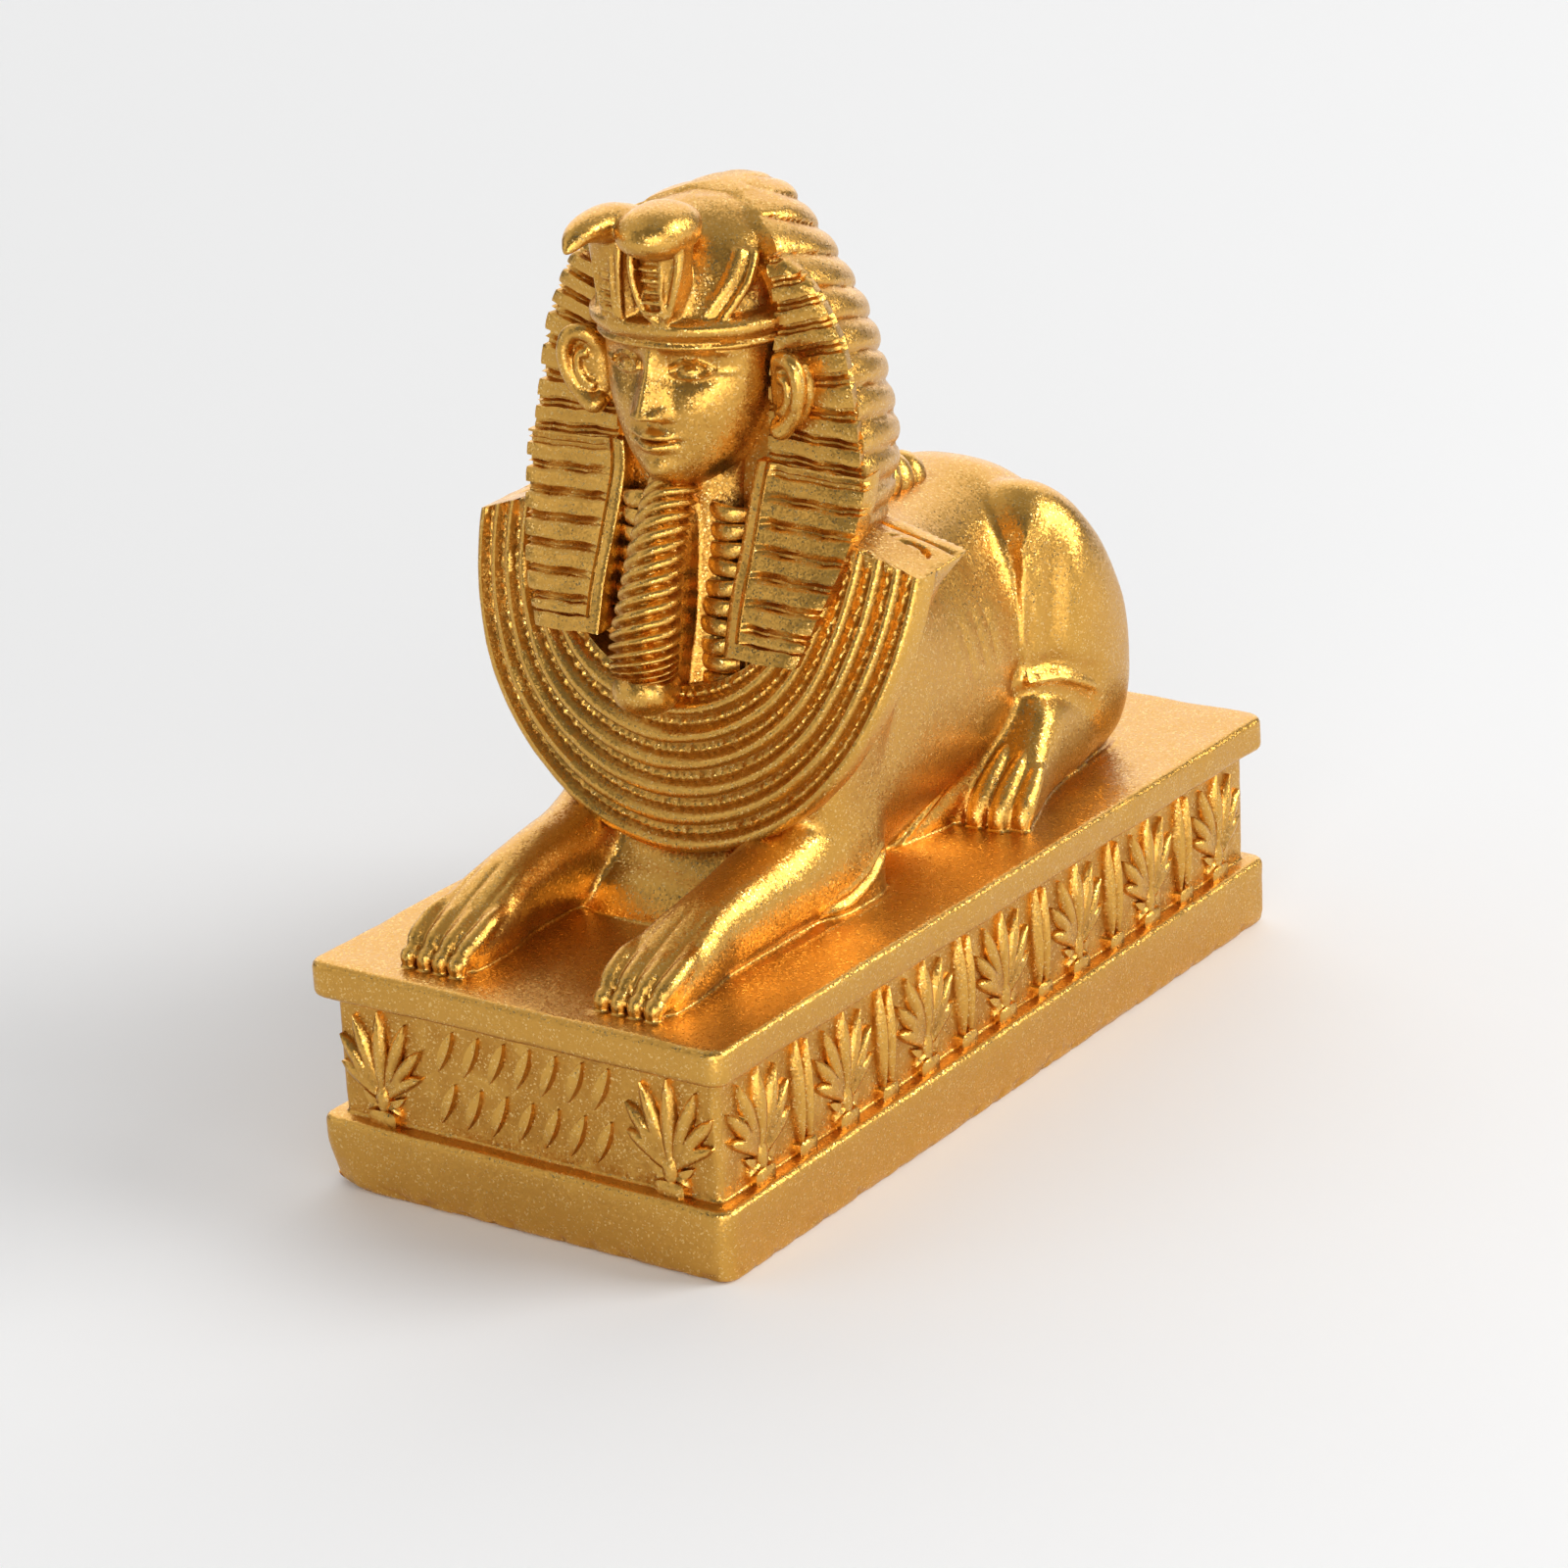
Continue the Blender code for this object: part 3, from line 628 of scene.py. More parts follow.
@dataclass
class Lion:
    """Body, haunches, shoulders, legs and tail as soft forms that run into each other."""

    soft_voxel: float = 0.3
    softening: int = 12
    toes: int = 4
    toe_groove: float = 0.1
    toe_reach: float = 5.2
    knuckle: float = 8.2

    body: Keys = (
        (-19.4, 0, -2.4, 0.4, 4.6, 2.0),
        (-18.2, 0, -2.2, 2.4, 6.0, 2.0),
        (-16.4, 0, -2.0, 3.8, 7.2, 2.1),
        (-14.6, 0, -1.6, 7.6, 8.4, 2.3),
        (-12.5, 0, -1.2, 15.0, 10.0, 2.6),
        (-8.5, 0, -1.8, 23.0, 11.2, 2.6),
        (-3.0, 0, -2.4, 26.0, 11.2, 2.2),
        (3.0, 0, -1.8, 24.0, 10.6, 2.05),
        (9.0, 0, -1.6, 22.4, 10.2, 2.05),
        (14.0, 0, -1.6, 22.2, 10.0, 2.1),
        (18.5, 0, -1.5, 22.2, 10.2, 2.2),
        (22.0, 0, -1.2, 20.6, 10.2, 2.2),
        (25.0, 0, -1.0, 16.2, 8.8, 2.2),
        (27.2, 0, -1.0, 9.0, 6.0, 2.2),
    )
    haunch: Keys = (
        (12.2, 8.2, 6.5, 12.0, 1.6, 2.0),
        (13.6, 7.2, 3.0, 18.5, 4.2, 2.2),
        (16.6, 6.8, 0.0, 21.4, 5.5, 2.3),
        (20.2, 6.7, -0.8, 20.2, 5.8, 2.4),
        (23.8, 6.4, -0.8, 16.0, 5.4, 2.4),
        (26.2, 5.8, -0.6, 10.0, 3.9, 2.2),
        (27.1, 5.4, 0.6, 6.0, 1.7, 2.0),
    )
    shoulder: Keys = (
        (-0.5, 7.6, -9.6, 3.4, 4.1, 3.4),
        (4.0, 7.6, -9.6, 3.5, 4.3, 3.2),
        (9.0, 7.6, -9.8, 3.8, 4.7, 2.8),
        (14.0, 8.0, -9.2, 4.4, 4.9, 2.6),
        (19.0, 8.8, -8.6, 5.6, 5.0, 2.5),
        (23.0, 9.6, -8.2, 6.6, 4.4, 2.5),
        (25.2, 9.6, -8.0, 5.0, 3.4, 2.4),
    )
    foreleg: Keys = (
        (-31.9, 7.8, -0.5, 1.3, 2.2, 2.6),
        (-31.2, 7.8, -0.5, 2.1, 2.8, 3.0),
        (-29.4, 7.8, -0.5, 3.0, 3.0, 3.0),
        (-26.4, 7.8, -0.5, 4.2, 2.9, 2.8),
        (-24.0, 7.9, -0.5, 5.0, 2.6, 2.6),
        (-20.0, 7.9, -0.5, 5.7, 2.7, 2.5),
        (-15.5, 7.7, -0.5, 6.6, 3.2, 2.4),
        (-11.0, 7.6, -0.5, 9.0, 3.6, 2.5),
    )
    hind: Keys = (
        (6.3, 10.6, -0.5, 1.0, 2.2, 2.6),
        (7.1, 10.6, -0.5, 2.2, 2.9, 2.8),
        (9.4, 10.2, -0.5, 4.3, 3.0, 2.6),
        (11.4, 9.7, -0.5, 6.4, 3.0, 2.5),
        (12.8, 9.4, -0.5, 8.1, 3.1, 2.4),
        (15.4, 8.5, -0.5, 8.3, 3.7, 2.3),
        (20.0, 7.0, -0.5, 6.4, 4.4, 2.4),
        (25.4, 6.2, -0.5, 4.4, 3.2, 2.4),
    )
    tail: Keys = (
        (1.0, 26.2, 3.5, 1.0, 1.0),
        (-4.0, 27.6, 1.6, 1.0, 1.0),
        (-9.6, 25.4, 1.4, 1.0, 1.0),
        (-11.6, 20.4, 2.4, 1.0, 1.0),
        (-12.4, 15.8, 4.6, 1.1, 1.1),
        (-11.8, 13.0, 7.6, 1.3, 1.3),
        (-10.6, 12.4, 9.6, 0.5, 0.5),
    )

    web: Keys = (
        (0.0, 6.4, -0.5, 0.1, 0.9, 2.0),
        (3.4, 6.9, -0.5, 2.0, 1.2, 2.0),
        (6.4, 7.2, -0.5, 4.1, 1.5, 2.0),
        (9.4, 7.7, -0.5, 6.3, 1.8, 2.0),
        (12.6, 8.0, -0.5, 8.4, 2.1, 2.0),
        (15.0, 8.0, -0.5, 8.4, 2.0, 2.0),
    )
    hind_toes: tuple[tuple[float, ...], ...] = (
        (8.5, 10.6, 5.1, 8.1, 6.3),
        (10.0, 10.6, 5.2, 9.8, 6.2),
        (11.4, 10.4, 4.8, 11.5, 6.3),
        (12.5, 10.4, 4.0, 13.0, 7.0),
    )
    seams: tuple[Keys, ...] = (
        (
            (7.2, 0.2, -0.05, 0.12, 0.15),
            (7.9, 3.4, 2.0, 0.13, 0.16),
            (8.6, 6.3, 4.1, 0.13, 0.16),
            (9.3, 9.4, 6.3, 0.13, 0.16),
            (9.9, 12.4, 8.3, 0.13, 0.16),
        ),
        (
            (12.0, 9.8, -0.05, 0.16, 0.15),
            (10.7, 13.6, -0.05, 0.16, 0.16),
            (10.5, 18.8, -0.05, 0.16, 0.16),
            (9.6, 25.4, -0.05, 0.16, 0.16),
            (7.0, 27.6, -0.05, 0.16, 0.15),
        ),
        (
            (10.9, -22.0, -0.05, 0.12, 0.12),
            (11.2, -14.8, -0.05, 0.16, 0.16),
            (11.6, -10.4, -0.05, 0.18, 0.18),
            (11.2, -7.4, -0.05, 0.18, 0.18),
            (9.8, -4.8, -0.05, 0.14, 0.14),
        ),
    )
    haunch_edge: Keys = ((15.1, 20.0), (13.7, 17.7), (13.0, 15.2), (12.4, 11.9), (12.5, 8.7))
    shank_edge: Keys = ((12.5, 8.7), (14.6, 8.5), (16.9, 7.5), (18.8, 6.4))

    def soft_mesh(self) -> bpy.types.Mesh:
        """Body, haunches, shoulders and legs joined coarsely and smoothed into each other."""
        clay = Clay()
        clay.add(lengthwise(self.body, 120, 96))
        clay.add_pair(lengthwise(self.haunch, 60, 64))
        clay.add_pair(upright(self.shoulder, 60, 64))
        clay.add_pair(lengthwise(self.foreleg, 80, 64))
        clay.add_pair(lengthwise(self.hind, 80, 64))
        clay.add_pair(lengthwise(self.web, 60, 48))
        return fused(clay, self.soft_voxel, self.softening)

    def toe(self, number: int) -> Array:
        """A toe that lies on a forepaw's top and bends down over its tip.

        Its path follows the paw's middle line plus its own share of the half width, at the
        height of the paw's top less part of its own thickness.

        Args:
            number: Which toe, from the inside.

        Returns:
            The rings.
        """
        rows = np.asarray(self.foreleg)
        start, reach = rows[0, 0], self.toe_reach
        back = np.array([1.0, 0.8, 0.55, 0.3, 0.12, 0.03]) * reach
        thick = np.array([0.1, 0.42, 0.66, 0.72, 0.7, 0.66])
        centre, high, half = (np.interp(start + back, rows[:, 0], rows[:, c]) for c in (1, 3, 4))
        share = (2 * number - self.toes + 1) / self.toes
        x = centre + share * np.maximum(half, 2.5) * (1.06 - 0.1 * back / reach)
        z = high - thick * np.array([7.0, 1.7, 0.9, 0.75, 0.66, 0.8])
        path = np.column_stack([x, start + back, z, thick * 0.92, thick])
        claw = [(x[-1], start - 0.45, 0.75, 0.66, 0.6), (x[-1], start - 0.5, 0.1, 0.5, 0.45)]
        return along_path(np.concatenate([path, claw]), 60, 24)

    @staticmethod
    def hind_toe(row: tuple[float, ...]) -> Array:
        """A hind toe: from its knuckle, where it is thin and sunk, it widens and bends down.

        Args:
            row: The knuckle's place, then the tip's across and along.

        Returns:
            The rings.
        """
        knuckle, tip = np.array(row[:3]), np.array([row[3], row[4], 0.7])
        at = np.array([0.0, 0.25, 0.55, 0.85, 1.0])[:, None]
        path = knuckle + (tip - knuckle) * at
        path[:, 2] += np.array([-0.35, 0.0, 0.15, 0.25, 0.0])
        width = np.array([0.25, 0.55, 0.72, 0.8, 0.72])[:, None]
        rings = np.concatenate([path, width, width * 1.1], axis=1)
        claw = [(row[3], row[4] - 0.35, 0.1, 0.6, 0.5)]
        return along_path(np.concatenate([rings, claw]), 40, 20)

    def build(self, mould: Mould) -> None:
        """Adds the softened lion, its toes, its tail and the mould's thin seams."""
        clay = mould.soft
        clay.add_mesh(self.soft_mesh())
        clay.add(along_path(self.tail, 80, 20))
        for number in range(self.toes):
            clay.add_pair(self.toe(number))
            clay.add_pair(self.hind_toe(self.hind_toes[number]))
        for seam in self.seams:
            clay.add_pair(along_path(seam, 60, 10))

    def toe_depth(self, points: Array) -> Array:
        """How deep the grooves between the toes are at each point.

        Across a paw, a groove is a narrow bell at each quarter of its width. Along it, the depth
        grows from nothing at the knuckles to its full amount towards the tips.

        Args:
            points: Places in the figure's own frame.

        Returns:
            Depths in millimetres.
        """
        x, y, z = abs(points[:, 0]), points[:, 1], points[:, 2]
        depth = np.zeros(len(points))
        rows = np.asarray(self.foreleg)
        start = rows[0, 0]
        centre = np.interp(y, rows[:, 0], rows[:, 1])
        half = np.interp(y, rows[:, 0], rows[:, 4]).clip(2.5)
        share = (x - centre) / half
        here = ramp(start + self.knuckle, start + self.knuckle - 2.0, y) * ramp(0.0, 0.3, z)
        here *= (y > start - 1.4) * (abs(share) < 1.2)
        for toe in range(1, self.toes):
            at = (2 * toe / self.toes - 1) * 1.02
            depth += self.toe_groove * here * ridge((share - at) * half, 0.17)
        return depth

    def flank_depth(self, points: Array) -> Array:
        """Faint slanted lines on the flanks where the ribs show."""
        x, y, z = abs(points[:, 0]), points[:, 1], points[:, 2]
        depth = np.zeros(len(points))
        here = ramp(8.6, 9.6, x) * ramp(10.6, 12.0, z) * ramp(16.2, 14.6, z)
        for start in (5.1, 7.0, 8.6):
            depth += 0.06 * here * ridge(y - start + 0.15 * (z - 13), 0.14)
        return depth

    def haunch_depth(self, points: Array) -> Array:
        """The raised line along each haunch's front edge and knee, with a hollow behind it."""
        x, y, z = abs(points[:, 0]), points[:, 1], points[:, 2]
        here = ramp(5.2, 7.0, x) * ramp(2.0, 4.0, z)
        edge, beside = from_line(y, z, self.haunch_edge)
        fade = ramp(21.4, 16.0, z) * ramp(8.0, 9.6, z)
        depth = fade * (0.75 * ridge(beside - 1.7, 1.3) + 0.12 * ridge(beside + 1.3, 1.3))
        depth -= 0.28 * ridge(edge, 0.19) * ramp(20.4, 17.0, z)
        shank, over = from_line(y, z, self.shank_edge)
        fade = ramp(19.4, 17.4, y)
        depth += fade * (0.3 * ridge(over - 0.95, 0.7) - 0.24 * ridge(shank, 0.24))
        depth += fade * 0.3 * ridge(over + 1.0, 0.8)
        knee = np.hypot((y - 12.7) / 1.1, (z - 8.6) / 0.8)
        return here * (depth - 0.3 * ridge(knee, 0.8))

    def elbow_depth(self, points: Array) -> Array:
        """The fold above each elbow and the hollow where the arm leaves the chest."""
        x, y, z = abs(points[:, 0]), points[:, 1], points[:, 2]
        fold, _ = from_line(y, z, ((-7.4, 2.9), (-9.0, 1.9), (-11.4, 1.2), (-14.0, 0.9)))
        line = 0.2 * ridge(fold, 0.2) - 0.14 * ridge(fold - 0.5, 0.25)
        return ramp(9.6, 10.4, x) * line


# Collar, headcloth and head


@dataclass
class Collar:
    """A broad collar of round bands that hangs from both shoulders."""

    half_width: float = 17.65
    drop: float = 20.0
    top: float = 24.3
    bands: int = 6
    side_breadth: float = 7.98
    front_breadth: float = 11.5
    thickness: float = 2.6
    broad: float = 0.62
    narrow: float = 0.34

    @staticmethod
    def front(x: Array, z: Array) -> Array:
        """The face's y: bulged across and leaning back near its top."""
        return -16.3 + 0.008 * x * x + 0.0151 * np.maximum(0.0, z - 11.0) ** 2

    def relief(self, share: Array, turn: Array) -> Array:
        """Height of the bands: a broad round one, a groove, and a narrow beaded one in each pitch.

        Args:
            share: 0 at the rim and 1 at the inner edge.
            turn: Angle round the collar.

        Returns:
            Heights in millimetres.
        """
        t = share * self.bands - np.floor(np.minimum(share * self.bands, self.bands - 1e-6))
        broad = np.clip(1 - abs((t - 0.26) / 0.26) ** 4.0, 0.0, 1.0) ** 0.8
        narrow = np.clip(1 - abs((t - 0.76) / 0.155) ** 2.2, 0.0, 1.0)
        beads = 0.68 + 0.32 * np.cos(turn * 150 * (1 - 0.45 * share) + 2 * np.sin(turn * 23 + 9 * share))
        return self.broad * broad + self.narrow * narrow * beads

    def build(self, mould: Mould) -> None:
        """Adds the collar: its section, banded in front and plain behind, round a half ellipse."""
        turn = np.radians(np.linspace(-90, 90, 225))[:, None]
        across = np.linspace(0, 1, 10 * self.bands + 1)
        share = np.concatenate([across, [1.0, 1.0, 0.6, 0.2, 0.0]])
        lift = self.relief(share[None, :], turn)
        back = np.array([1.2, 2.6, 3.0, 2.6, 1.2]) / 2.6 * self.thickness
        lift[:, len(across) :] = -back
        x = (self.half_width - self.side_breadth * share[None, :]) * np.sin(turn)
        z = self.top - (self.drop - self.front_breadth * share[None, :]) * np.cos(turn)
        z = z + (self.half_width - abs(x)) * 0.35 * abs(np.sin(turn)) ** 12
        mould.crisp.add(np.stack([x, self.front(x, z) - lift, z], axis=-1))
        corners = np.array(
            [
                [(17.65, -11.2, 24.3), (11.0, -12.6, 26.6), (8.6, -4.4, 26.2), (17.5, -5.7, 24.6)],
                [(17.3, -11.8, 22.2), (11.0, -12.8, 22.0), (8.6, -5.0, 22.0), (16.6, -9.8, 22.2)],
            ]
        )
        mould.soft.add_pair(corners[::-1])

    def strap_depth(self, points: Array) -> Array:
        """Engraved marks on the straps: an edge line, an oval and small slanted cuts."""
        x, y, z = abs(points[:, 0]), points[:, 1], points[:, 2]
        here = (z > 23.4) * ramp(9.2, 9.8, x) * ramp(17.4, 17.0, x)
        here = here * ramp(-11.4, -10.9, y) * ramp(-5.4, -5.9, y)
        across = y + 8.3 + 0.1 * (x - 13)
        edge = 0.16 * ridge(across - 1.7, 0.12)
        oval = 0.3 * ridge(np.hypot((x - 15.0) / 1.3, across / 0.75) - 0.8, 0.2)
        cuts = np.zeros(len(points))
        for middle, lean, reach in ((10.6, 0.7, 0.5), (11.7, -0.6, 0.6), (12.7, 0.5, 0.7)):
            cuts += ridge(x - middle - lean * across, 0.16) * ridge(across, reach)
        return here * (1.6 * edge + 1.3 * oval + 0.45 * cuts)


@dataclass
class Headcloth:
    """The striped cloth: a ribbed shell behind the face, two flaps in front and a plaited end."""

    ribs: int = 12
    rib_depth: float = 0.62
    stripe_pitch: float = 1.6
    stripe_depth: float = 0.44
    stripe_rows: tuple[float, ...] = (0.0, 0.18, 0.28, 0.34, 0.42, 0.5, 0.58, 0.66, 0.72, 0.82)
    stripe_cuts: tuple[float, ...] = (0.0, 0.03, 0.1, 1.0, 1.0, 0.25, 1.0, 1.0, 0.1, 0.03)
    seed: int = 11
    sag: float = 4.4
    thickness: float = 2.2

    shell: Keys = (
        (22.0, 10.4, -12.0, 2.8),
        (28.5, 13.0, -11.6, 1.9),
        (34.0, 12.4, -10.8, 1.4),
        (38.0, 11.1, -10.6, 0.8),
        (41.5, 9.2, -10.8, -0.3),
        (44.0, 7.1, -10.9, -1.2),
        (46.0, 5.0, -9.9, -2.4),
        (47.2, 2.0, -8.0, -4.4),
    )
    wing: Keys = (
        (29.0, 6.0, 13.2, -11.8, 0.0),
        (33.0, 6.0, 12.8, -11.2, 0.0),
        (36.0, 6.2, 12.1, -10.9, 0.05),
        (38.5, 6.8, 11.1, -10.75, 0.1),
        (41.5, 6.9, 9.5, -10.85, 0.2),
        (43.2, 6.5, 7.8, -10.9, 0.3),
        (44.0, 6.4, 6.9, -10.9, 0.3),
    )
    lappet: Keys = (
        (18.3, 5.0, 10.4, -16.2),
        (21.5, 5.0, 11.6, -15.2),
        (25.0, 5.0, 12.7, -13.6),
        (28.5, 5.0, 13.4, -12.2),
        (31.0, 5.4, 13.4, -11.6),
    )
    queue: Keys = (
        (0, -0.5, 28.4, 4.2, 3.2),
        (0, 4.0, 25.2, 3.2, 2.8),
        (0, 9.0, 22.8, 2.4, 2.3),
        (0, 14.0, 21.6, 1.8, 1.9),
    )

    def stripes(self, low: float, count: int) -> tuple[Array, Array, Array]:
        """Rows that follow the paired grooves, so that each groove keeps its sharp edges.

        Args:
            low: Height of the lowest stripe.
            count: How many stripes there are.

        Returns:
            The rows' heights, their depths, and for each row a seeded phase by which its stripe
            wavers, as columns.
        """
        level = low + self.stripe_pitch * (np.arange(count)[:, None] + self.stripe_rows).ravel()
        cuts = self.stripe_depth * np.tile(self.stripe_cuts, count)
        phase = np.repeat(np.random.default_rng(self.seed).uniform(0, 6.28, count), len(self.stripe_rows))
        return level[:, None], cuts[:, None], phase[:, None]

    @staticmethod
    def waver(across: Array, cut: Array, phase: Array) -> tuple[Array, Array]:
        """How far a stripe strays up or down along its length, and its groove's uneven depth."""
        stray = 0.04 * np.sin(2.1 * across + phase) + 0.025 * np.sin(5.3 * across + 3 * phase)
        return stray, cut * (0.85 + 0.25 * np.sin(1.7 * across + 2 * phase))

    @staticmethod
    def at_heights(keys: Keys, level: Array) -> list[Array]:
        """A table's smoothly filled columns read at the given heights."""
        rows = hermite(keys, 200)
        return [np.interp(level, rows[:, 0], column) for column in rows.T[1:]]

    def ribbed(self, z: Array, turn: Array) -> Array:
        """Height of the ribs.

        The depth times a row of half circles, read at the height plus the sag, so that the ribs
        hang lower behind than at the wings.

        Args:
            z: Height of the ring.
            turn: Angle round the shell, 0 and half a turn at the wings.

        Returns:
            Heights in millimetres.
        """
        pitch = (self.shell[-1][0] - self.shell[0][0]) / self.ribs
        return self.rib_depth * (roll(z + self.sag * np.sin(turn) ** 1.4, pitch) - 0.7)

    def build_shell(self, clay: Clay) -> None:
        """Adds the shell: each ring is an arc from wing to wing with a plain front."""
        z, wing, front, back = hermite(self.shell, 126).T[:, :, None]
        turn = np.radians(np.linspace(0, 180, 53))[None, :]
        lift = self.ribbed(z, turn) * np.clip(wing / 5.0, 0.15, 1.0)
        x = (wing + lift) * np.cos(turn)
        y = front + 0.5 + (back - front + 0.1 + lift) * np.sin(turn)
        arc = np.stack([x, y, z + (y - front) * 0.1], axis=-1)
        share = np.linspace(-1, 1, 9)[None, 1:-1]
        across = (wing + lift[:, :1]) * share
        face = np.stack(np.broadcast_arrays(across, front + 0.5, z), axis=-1)
        clay.add(np.concatenate([arc, face], axis=1))

    @staticmethod
    def wing_rise(level: Array, across: Array) -> Array:
        """How far a wing's stripes climb towards its outer edge, more so higher up."""
        return 0.3 * ramp(33.0, 38.0, level) * (across - 6.0) - 0.05 * (across - 8.0)

    def build_wings(self, clay: Clay) -> None:
        """Adds the striped fronts beside the face, which narrow to a point above the temples."""
        level, cut, phase = self.stripes(28.6, 10)
        level = np.minimum(level, self.wing[-1][0] + 0.02 * np.arange(len(level))[:, None] / len(level))
        inner, outer, front, slant = self.at_heights(self.wing, level)
        share = np.linspace(0, 1, 15)[None, :]
        across = inner + (outer - inner) * share
        stray, cut = self.waver(across, cut, phase)
        cut = cut * ramp(0.0, 0.8, outer - inner)
        z = level + self.wing_rise(level, across) + stray
        plane = front - slant * (outer - across) + cut + 0.25 * share**8
        face = np.stack([across - 0.8 * cut * share**8, plane, z], axis=-1)
        edge = np.array([1.0, 0.7, 0.3, 0.0])[None, :]
        across = inner + (outer - inner) * edge
        plane = front - slant * (outer - across) + np.array([1.1, 2.0, 2.0, 1.1])
        rise = self.wing_rise(level, across)
        rear = np.stack(np.broadcast_arrays(across - 0.2 * edge, plane, level + rise), axis=-1)
        clay.add_pair(np.concatenate([face, rear], axis=1))

    def build_lappets(self, clay: Clay) -> None:
        """Adds the flaps: a border along the inner edge, a plain hem, and paired grooves between."""
        level, cut, phase = self.stripes(19.5, 7)
        hem = np.array([18.3, 18.4, 18.9, 19.2, 19.27, 19.36, 19.43])[:, None]
        level = np.concatenate([hem, level])
        cut = np.concatenate([self.stripe_depth * np.array([[0, 0, 0, 0.1, 0.9, 0.9, 0.1]]).T, cut])
        phase = np.concatenate([np.full_like(hem, 0.7), phase])
        inner, outer, front = self.at_heights(self.lappet, level)
        border = np.array([0.0, 0.08, 0.45, 0.82, 0.9, 0.99, 1.07])
        share = np.linspace(0, 1, 11)[None, :]
        across = np.concatenate([inner + border, inner + 1.15 + (outer - inner - 1.15) * share], axis=1)
        stray, cut = self.waver(across, cut, phase)
        cut[:, : len(border) + 1] = 0.0
        cut[:, len(border) - 3 : len(border)] = np.array([0.3, 0.34, 0.3]) * (level > 19.2)
        outside = ((across - inner) / (outer - inner)) ** 8
        plane = front + 0.35 * outside + cut + 0.1 * (np.arange(across.shape[1]) == 0)
        rise = 0.3 - 0.04 * (across - inner)
        face = np.stack([across - 0.7 * cut * outside, plane, level + rise + stray], axis=-1)
        depth = np.array([0.5, 1.0, 1.0, 0.5]) * self.thickness
        edge = np.array([1.0, 0.97, 0.03, 0.0])[None, :]
        across = inner + (outer - inner) * edge
        rise = 0.3 - 0.04 * (across - inner)
        rear = np.broadcast_arrays(across, front + 0.35 * (edge > 0.5) + depth, level + rise)
        clay.add_pair(np.concatenate([face, np.stack(rear, axis=-1)], axis=1))

    def build(self, mould: Mould) -> None:
        """Adds the shell, the wings, the flaps and the queue with its bands."""
        self.build_shell(mould.crisp)
        self.build_wings(mould.crisp)
        self.build_lappets(mould.crisp)
        rings = along_path(self.queue, 72, 24)
        middle = rings.mean(axis=1, keepdims=True)
        wave = 0.8 + 0.25 * roll(np.linspace(0, 8, 72), 1.0)[:, None, None]
        mould.crisp.add(middle + (rings - middle) * wave)


@dataclass
class Crown:
    """The smooth top of the headcloth, the brow band and the folds at the temples."""

    dome: Keys = (
        (38.0, 0, -8.4, 6.6, 6.6, 2.2),
        (40.4, 0, -8.3, 7.1, 7.3, 2.2),
        (42.8, 0, -8.5, 6.7, 6.1, 2.2),
        (45.0, 0, -8.6, 5.4, 4.7, 2.1),
        (46.4, 0, -8.4, 3.5, 3.0, 2.0),
        (47.1, 0, -8.2, 1.2, 1.2, 2.0),
    )
    band: Keys = (
        (38.5, 0, -8.4, 6.9, 7.3, 2.2),
        (38.7, 0, -8.4, 7.15, 7.6, 2.2),
        (38.9, 0, -8.4, 7.2, 7.65, 2.2),
        (39.1, 0, -8.4, 7.0, 7.4, 2.2),
        (39.4, 0, -8.4, 7.3, 7.75, 2.2),
        (39.8, 0, -8.4, 7.6, 8.05, 2.2),
        (40.3, 0, -8.4, 7.55, 8.0, 2.2),
        (40.6, 0, -8.4, 7.0, 7.4, 2.2),
    )
    fold_heights: tuple[float, ...] = (40.2, 41.4, 42.6, 43.8, 44.5)
    fold_turns: tuple[float, ...] = (52, 44, 36, 28, 24)
    panel_depth: float = 0.8

    def turn_of(self, points: Array) -> Array:
        """Angle of places round the dome, in degrees from its side towards its front."""
        rows = np.asarray(self.dome)
        middle, half_x, half_y = (np.interp(points[:, 2], rows[:, 0], rows[:, c]) for c in (2, 3, 4))
        return np.degrees(np.arctan2((middle - points[:, 1]) / half_y, abs(points[:, 0]) / half_x))

    def fold(self, lead: float, sink: float, width: float) -> Array:
        """A ridge on the dome that leans outwards as it rises from the band to the top.

        Args:
            lead: How many degrees it lies in front of the panel's edge.
            sink: Share of the dome's radius at which its middle runs.
            width: Its radius.

        Returns:
            The rings.
        """
        rows, z = np.asarray(self.dome), np.array(self.fold_heights)
        turn = np.radians(np.array(self.fold_turns) + lead)
        middle, half_x, half_y = (np.interp(z, rows[:, 0], rows[:, c]) for c in (2, 3, 4))
        across, forward = superellipse(turn, 2.2)
        path = [half_x * across * sink, middle - half_y * forward * sink, z]
        return along_path(np.column_stack([*path, np.full((len(z), 2), width)]), 60, 16)

    def depth(self, points: Array) -> Array:
        """How deep the smooth panel beside each fold lies, from the fold to the temple."""
        fold = np.interp(points[:, 2], self.fold_heights, self.fold_turns)
        turn, z = self.turn_of(points), points[:, 2]
        inside = ramp(fold - 3, fold - 6, turn) * ramp(-4, 4, turn)
        return self.panel_depth * inside * ramp(40.6, 40.9, z) * ramp(45.0, 43.8, z)

    def build(self, mould: Mould) -> None:
        """Adds the dome, the band and a fold at each temple."""
        mould.soft.add(upright(self.dome, 60, 96))
        mould.soft.add(upright(self.band, 20, 96))
        mould.soft.add_pair(self.fold(0.0, 1.02, 0.32))
        mould.soft.add_pair(self.fold(10.0, 0.95, 0.62))


